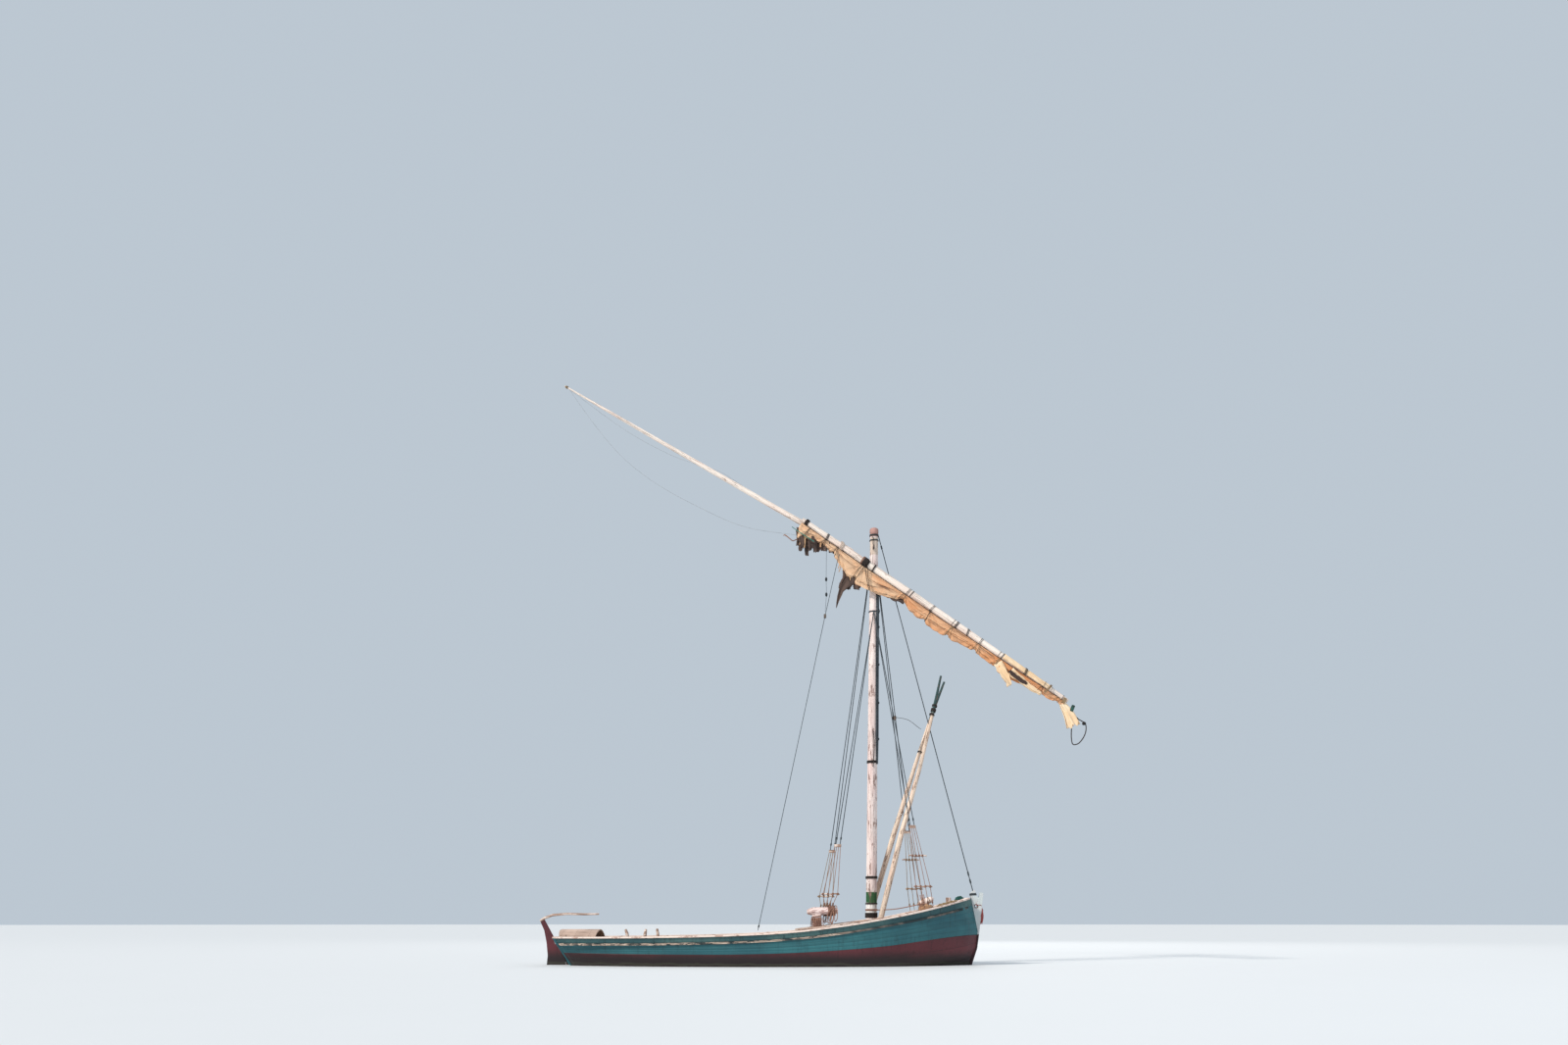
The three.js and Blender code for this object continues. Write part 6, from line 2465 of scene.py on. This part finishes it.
        # Dark strips: painted shade for the fringe that hangs in the roll's shadow.
        dark = (
            (-3.22, 0.3, 0.72, 0.24, 0.06), (-3.12, 0.34, 0.86, 0.26, 0.02), (-2.98, 0.4, 0.66, 0.26, 0.05),
            (-2.84, 0.36, 0.84, 0.26, 0.0), (-2.7, 0.3, 0.62, 0.28, 0.03), (-2.54, 0.24, 0.66, 0.28, 0.0),
            (-2.38, 0.2, 0.56, 0.26, 0.05), (-2.22, 0.2, 0.44, 0.24, 0.02), (-2.04, 0.2, 0.36, 0.24, 0.04),
            (-1.86, 0.2, 0.28, 0.2, 0.02), (-1.7, 0.2, 0.24, 0.16, 0.03),
        )
        tan = (
            (-3.18, 0.42, 0.5, 0.08, 0.05), (-3.02, 0.5, 0.42, 0.07, 0.03), (-2.86, 0.46, 0.5, 0.09, 0.02),
            (-2.68, 0.34, 0.44, 0.08, 0.04), (-2.46, 0.3, 0.36, 0.07, 0.02), (-2.26, 0.26, 0.28, 0.08, 0.02),
        )
        self.strips("ragged_strips_shaded", self.hanging(dark), SHADED_RAGS, 3)
        self.strips("ragged_strips_tan", self.hanging(tan), TAN_RAGS, 5)
        line = curved([(0.83, -0.56, 15.44), (1.1, -0.57, 15.24), (1.66, -0.55, 14.86)], 12)
        stick = Shape().tube(line, [0.014] * 3 + [0.019] * 10, 8)
        stick.piece("furling_stick", STICK_PAINT, Body.YARD)
        fray = Shape()
        end = [
            (1.02, -0.42, 15.0), (0.86, -0.44, 14.93), (0.74, -0.45, 15.02), (0.56, -0.44, 15.16),
            (0.5, -0.44, 15.13),
        ]
        fray.tube(curved(end, 18), [0.02] * 14 + [0.024, 0.026, 0.024, 0.018, 0.008], 8, unit=0.04)
        fray.piece("frayed_end", RED_ROPE, Body.YARD)

    def flap(self) -> None:
        """Builds the torn flap that hangs aft of the mast, dark with painted shade, with its threads, and a
        dark sheet of painted shade under the roll forward of the mast.
        """
        y = self.y
        curl = (
            (3.12, y, 13.62), (2.98, y - 0.02, 13.4), (2.78, y - 0.03, 13.2), (2.62, y - 0.02, 12.96),
            (2.53, y, 12.66), (2.46, y, 12.4),
        )
        short = (
            (2.9, y + 0.05, 13.8), (2.84, y + 0.04, 13.55), (2.68, y + 0.05, 13.3), (2.6, y + 0.05, 13.12),
        )
        wide = ((3.3, y + 0.03, 13.4), (3.24, y + 0.02, 13.24), (3.2, y, 13.06))
        rear = ((3.06, y + 0.08, 13.5), (2.96, y + 0.08, 13.3), (2.92, y + 0.07, 13.08))
        rows = ((curl, 0.4, 0.04), (short, 0.34, 0.1), (wide, 0.34, 0.2), (rear, 0.3, 0.12))
        self.strips("torn_flap", rows, SHADED_RAGS, 31)
        # Painted shade: a dark sheet for the shade under the roll forward of the mast.
        shade_sheet_spine = (
            (4.2, y + 0.03, 12.95), (4.46, y + 0.03, 12.84), (4.72, y + 0.02, 12.74),
            (4.98, y + 0.02, 12.68),
        )
        self.strips("shade_sheet_under_roll", ((shade_sheet_spine, 0.2, 0.3),), SHADED_RAGS, 23)
        threads = (
            (-1.28, 0.36, 0.42, 0.05, 0.1), (-1.2, 0.4, 0.5, 0.06, 0.12), (-1.08, 0.45, 0.34, 0.05, 0.05),
            (-0.98, 0.5, 0.42, 0.06, 0.08), (-0.85, 0.55, 0.34, 0.05, 0.03),
            (-0.74, 0.58, 0.42, 0.05, -0.03),
        )
        self.strips("torn_threads", self.hanging(threads), TAN_RAGS, 12)

    def hanging_corner(self) -> None:
        """Builds the pale corner of cloth that hangs below the patch, over a dark sheet of painted shade for
        the fold behind it.
        """
        y = self.y - 0.12
        corner = ((8.26, y, 10.3), (8.4, y - 0.03, 10.02), (8.56, y - 0.03, 9.7), (8.66, y, 9.47))
        belly = ((8.7, y, 9.98), (9.0, y - 0.03, 9.72), (9.35, y - 0.02, 9.42), (9.75, y, 9.16))
        self.strips("pale_corner", ((corner, 0.36, 0.2), (belly, 0.3, 0.16)), PATCH, 17)
        # Painted shade: a dark sheet for the shadow in the fold behind the corner.
        fold = ((8.66, y - 0.05, 10.0), (8.86, y - 0.06, 9.8), (9.25, y - 0.05, 9.5))
        self.strips("fold_shade_sheet", ((fold, 0.12, 0.14),), SHADED_RAGS, 19)

    def heel(self) -> None:
        """Builds the gathered tack at the heel of the yard, with its rope loop and block."""
        y = self.y
        spine = curved([YARD.at(8.12, 0.1, y), (10.56, y, 8.76), (10.74, y, 8.42), (10.86, y, 8.04)], 30)
        frames = frames_along(spine, ACROSS)

        def place(a: float, b: float) -> Charted:
            """Point and UV of the gathered cloth.

            Args:
                a: Share of the way round.
                b: Share of the way down.

            Returns:
                The point and its UV pair.
            """
            i, centre = step_at(spine, b)
            spread = read(((0.0, 0.08), (0.3, 0.13), (0.65, 0.18), (1.0, 0.21)), b)
            angle = TAU * a * 0.94
            gather = 2.4 * noise.noise(Vector((cos(angle), sin(angle), b * 0.8)))
            pleat = 1 + 0.2 * sin(angle * 8 + 2 * b + gather) * (0.25 + b)
            torn = 0.5 * max(0.0, b - 0.55) * noise.noise(Vector((cos(angle) * 2, sin(angle) * 2, 4.0)))
            local = Vector((cos(angle) * spread * pleat, sin(angle) * spread * pleat * 0.5, torn))
            return centre + frames[i].to_3x3() @ local, (a * 0.8, b * 1.0)

        made = Shape().sheet(90, 36, place).piece("tack_cloth", PATCH, Body.YARD)
        thicken(made)
        length_of(spine)
        rope = Shape()
        rope.coil(YARD.at(8.3, 0.08, y + 0.01), YARD.direction, 0.115, 0.012, 5)
        rope.coil(YARD.at(7.6, 0.06, y + 0.01), YARD.direction + YARD.under * 0.2, 0.2, 0.012, 3)
        rope.piece("heel_lashing", MANILA, Body.YARD)
        dark = Shape()
        loop = [
            (10.92, y, 8.34), (11.14, y - 0.02, 8.22), (11.3, y, 8.1), (11.27, y + 0.02, 7.77),
            (11.02, y, 7.43), (10.8, y - 0.01, 7.38), (10.76, y, 7.62), (10.8, y, 8.05),
        ]
        dark.rope(curved(loop, 48), 0.019, 8)
        dark.ball((11.25, y, 8.12), (0.075, 0.06, 0.065), 0.25, 2)
        dark.coil(Vector((11.0, y, 8.3)), Vector((1, 0, -0.4)), 0.02, 0.012, 4)
        dark.piece("heel_loop", BLACK_ROPE, Body.YARD)
        block = Shape()
        turn = Matrix.Rotation(radians(25), 3, "Y")
        block.block((10.8, y - 0.1, 8.53), (10.92, y, 8.78), 0.028, turn)
        block.piece("heel_block", GREEN_TIMBER, Body.YARD)


@dataclass(frozen=True)
class Stowage:
    """Soft things stowed on the foredeck: a rolled canvas and a heap of net."""

    def build(self) -> None:
        """Builds both."""
        self.canvas()
        self.net()

    def canvas(self) -> None:
        """Builds the folded cloth on the foredeck, darkened under its laps as painted shade, and the rolled
        canvas that lies tied on top of it.
        """
        heap = Shape()
        deck = LINES.deck_z(5.3)
        shade = heap.bm.verts.layers.float.new("shade")
        verts = bmesh.ops.create_icosphere(heap.bm, subdivisions=5, radius=1)["verts"]
        for vert in verts:
            p = vert.co.copy()
            lap = (p.z * 3.4 + 0.5 * noise.noise(p * 1.6) + 0.1 * p.x) % 1.0
            # Painted shade: the cloth darkens just under the edge of each lap.
            vert[shade] = exp(-lap / 0.12)
            reach = Vector(copysign(abs(c) ** 0.62, c) for c in p) * (0.94 + 0.07 * lap ** 0.5)
            reach += p * 0.05 * noise.noise(p * 4)
            z = max(1.72 + reach.z * 0.24, deck + 0.003)
            vert.co = Vector((5.31 + reach.x * 0.25, -1.0 + reach.y * 0.22, z))
        made = heap.piece("folded_canvas", STOWED_CLOTH)
        low, high = Vector((5.05, -1.01, 1.94)), Vector((5.58, -0.99, 2.14))
        path = straight(low, high, 28)
        radii = [0.1 * (1 - (abs(k - 14) / 14) ** 5 * 0.75) for k in range(29)]
        radii = [r - 0.012 * exp(-(((k - 9) / 1.2) ** 2)) for k, r in enumerate(radii)]

        def rolled(share: float, along: float) -> float:
            """Layers and creases of rolled cloth."""
            edge = exp(-(((share - 0.3 - 0.1 * along) / 0.02) ** 2))
            return 1 + 0.05 * wander(share, along * 4, 1) - 0.07 * edge

        made = Shape().tube(path, radii, 40, wobble=rolled).piece(
            "canvas_roll", BUNDLE_CLOTH, replaces=["canvas_bundle"]
        )
        ties = Shape()
        for t in (0.32, 0.7):
            ties.coil(low.lerp(high, t), high - low, 0.098, 0.006, 2)
        ties.piece("canvas_ties", MANILA)

    def net(self) -> None:
        """Builds the heap of net abaft the stem head."""
        shape = Shape()
        deck = LINES.deck_z(6.6)
        verts = bmesh.ops.create_icosphere(shape.bm, subdivisions=5, radius=1)["verts"]
        for vert in verts:
            p = vert.co.copy()
            folds = 0.1 * noise.noise(p * 3.1) + 0.05 * noise.noise(p * 7.7) + 0.02 * noise.noise(p * 17)
            grown = p * (0.93 + folds)
            z = 1.88 + grown.z * 0.38
            vert.co = Vector((6.59 + grown.x * 0.235, grown.y * 0.46, max(z, deck + 0.004)))
        made = shape.piece("net_pile", NET, replaces=["net_heap"])


@dataclass(frozen=True)
class Lamp:
    """One light. Its size is an angle for the sun, and the width of its face for a soft lamp."""

    name: str
    kind: str
    spot: Point
    target: Point
    size: float
    power: float
    colour: RGB

    def add(self) -> None:
        """Adds the light to the scene, turned to its target."""
        data = bpy.data.lights.new(self.name, self.kind)
        setattr(data, "angle" if self.kind == "SUN" else "size", self.size)
        data.energy = self.power
        data.color = self.colour
        lamp = bpy.data.objects.new(self.name, data)
        lamp.location = self.spot
        aim = Vector(self.target) - Vector(self.spot)
        lamp.rotation_euler = aim.to_track_quat("-Z", "Y").to_euler()
        bpy.context.scene.collection.objects.link(lamp)


@dataclass(frozen=True)
class Studio:
    """Floor, light and the camera at the photograph's angle.

    The floor's inner edge crosses the stern in the first and last share cross of its round, and its two
    sides meet at the bow at the share meet.
    """

    eye: Point = (0.533, -44.2, 1.4)
    pitch: float = 18.035
    lens: float = 28.125
    sensor: float = 36.0
    reach: float = 600.0
    steps: int = 160
    cross: float = 0.025
    meet: float = 0.48
    sky_colour: RGB = (0.72, 0.82, 0.92)
    sky_power: float = 0.7
    lamps: tuple[Lamp, ...] = (
        Lamp("key", "SUN", (0, 0, 0), (0.66, 0.55, -0.62), radians(7), 3.1, (1.0, 0.95, 0.88)),
        Lamp("fill", "AREA", (36, -40, 16), (1.5, 0, 8), 30, 3200, (0.86, 0.93, 1.0)),
        Lamp("rim", "AREA", (14, 46, 30), (1.5, 0, 8), 26, 4200, (1.0, 0.98, 0.95)),
    )

    def build(self) -> None:
        """Sets the stage."""
        shape = Shape()

        def place(a: float, b: float) -> Charted:
            """Point and UV of the floor, from the boat's outline at the waterline to far away.

            Args:
                a: Share of the way round the boat.
                b: Share of the way out.

            Returns:
                The point and its UV pair.
            """
            near = self.outline(a)
            far = Vector((near.x, near.y * 3.5, 0)).normalized() * self.reach
            spot = near.lerp(far, b ** 5)
            return spot, (spot.x, spot.y)

        shape.sheet(self.steps, 24, place)
        bmesh.ops.remove_doubles(shape.bm, verts=shape.bm.verts, dist=0.0001)
        floor = shape.piece("floor", FLOOR, None)
        if floor.data.polygons[0].normal.z < 0:
            floor.data.flip_normals()
        data = bpy.data.cameras.new("camera")
        data.lens = self.lens
        data.sensor_width = self.sensor
        data.clip_end = 2000
        camera = bpy.data.objects.new("camera", data)
        camera.location = self.eye
        camera.rotation_euler = (radians(90 + self.pitch), 0, 0)
        bpy.context.scene.collection.objects.link(camera)
        bpy.context.scene.camera = camera
        self.sky()
        for lamp in self.lamps:
            lamp.add()

    def outline(self, share: float) -> Vector:
        """Point just inside the planking at the waterline, at a share of the way round from the stern.

        Args:
            share: Share of the way round.

        Returns:
            The point.
        """
        way = min(share, 1 - share)
        u = min(1.0, max(0.0, (way - self.cross) / (self.meet - self.cross)))
        side = -1 if share < 0.5 else 1
        level = halved(lambda t: LINES.section(u, Band.BOTTOM, t)[1] < 0, 24)
        spot = LINES.skin(u, Band.BOTTOM, level, side, -0.03)
        return Vector((spot.x, spot.y * min(1.0, way / self.cross), 0))

    def sky(self) -> None:
        """Lights the scene evenly from a pale surround."""
        world = bpy.data.worlds.new("surround")
        world.use_nodes = True
        back = world.node_tree.nodes["Background"]
        back.inputs["Color"].default_value = (*self.sky_colour, 1)
        back.inputs["Strength"].default_value = self.sky_power
        bpy.context.scene.world = world
        bpy.context.scene.view_settings.view_transform = "Standard"


def main() -> None:
    """Builds the boat's looks piece by piece."""
    logging.basicConfig(level=logging.INFO, format="%(message)s")
    Studio().build()
    for part in (Yard(), RunningLines(), Sail(), Mast(), Rigging(), Planking(), Ends(), Decks(), Stowage()):
        LOG.info("building %s", type(part).__name__)
        part.build()


if __name__ == "__main__":
    main()
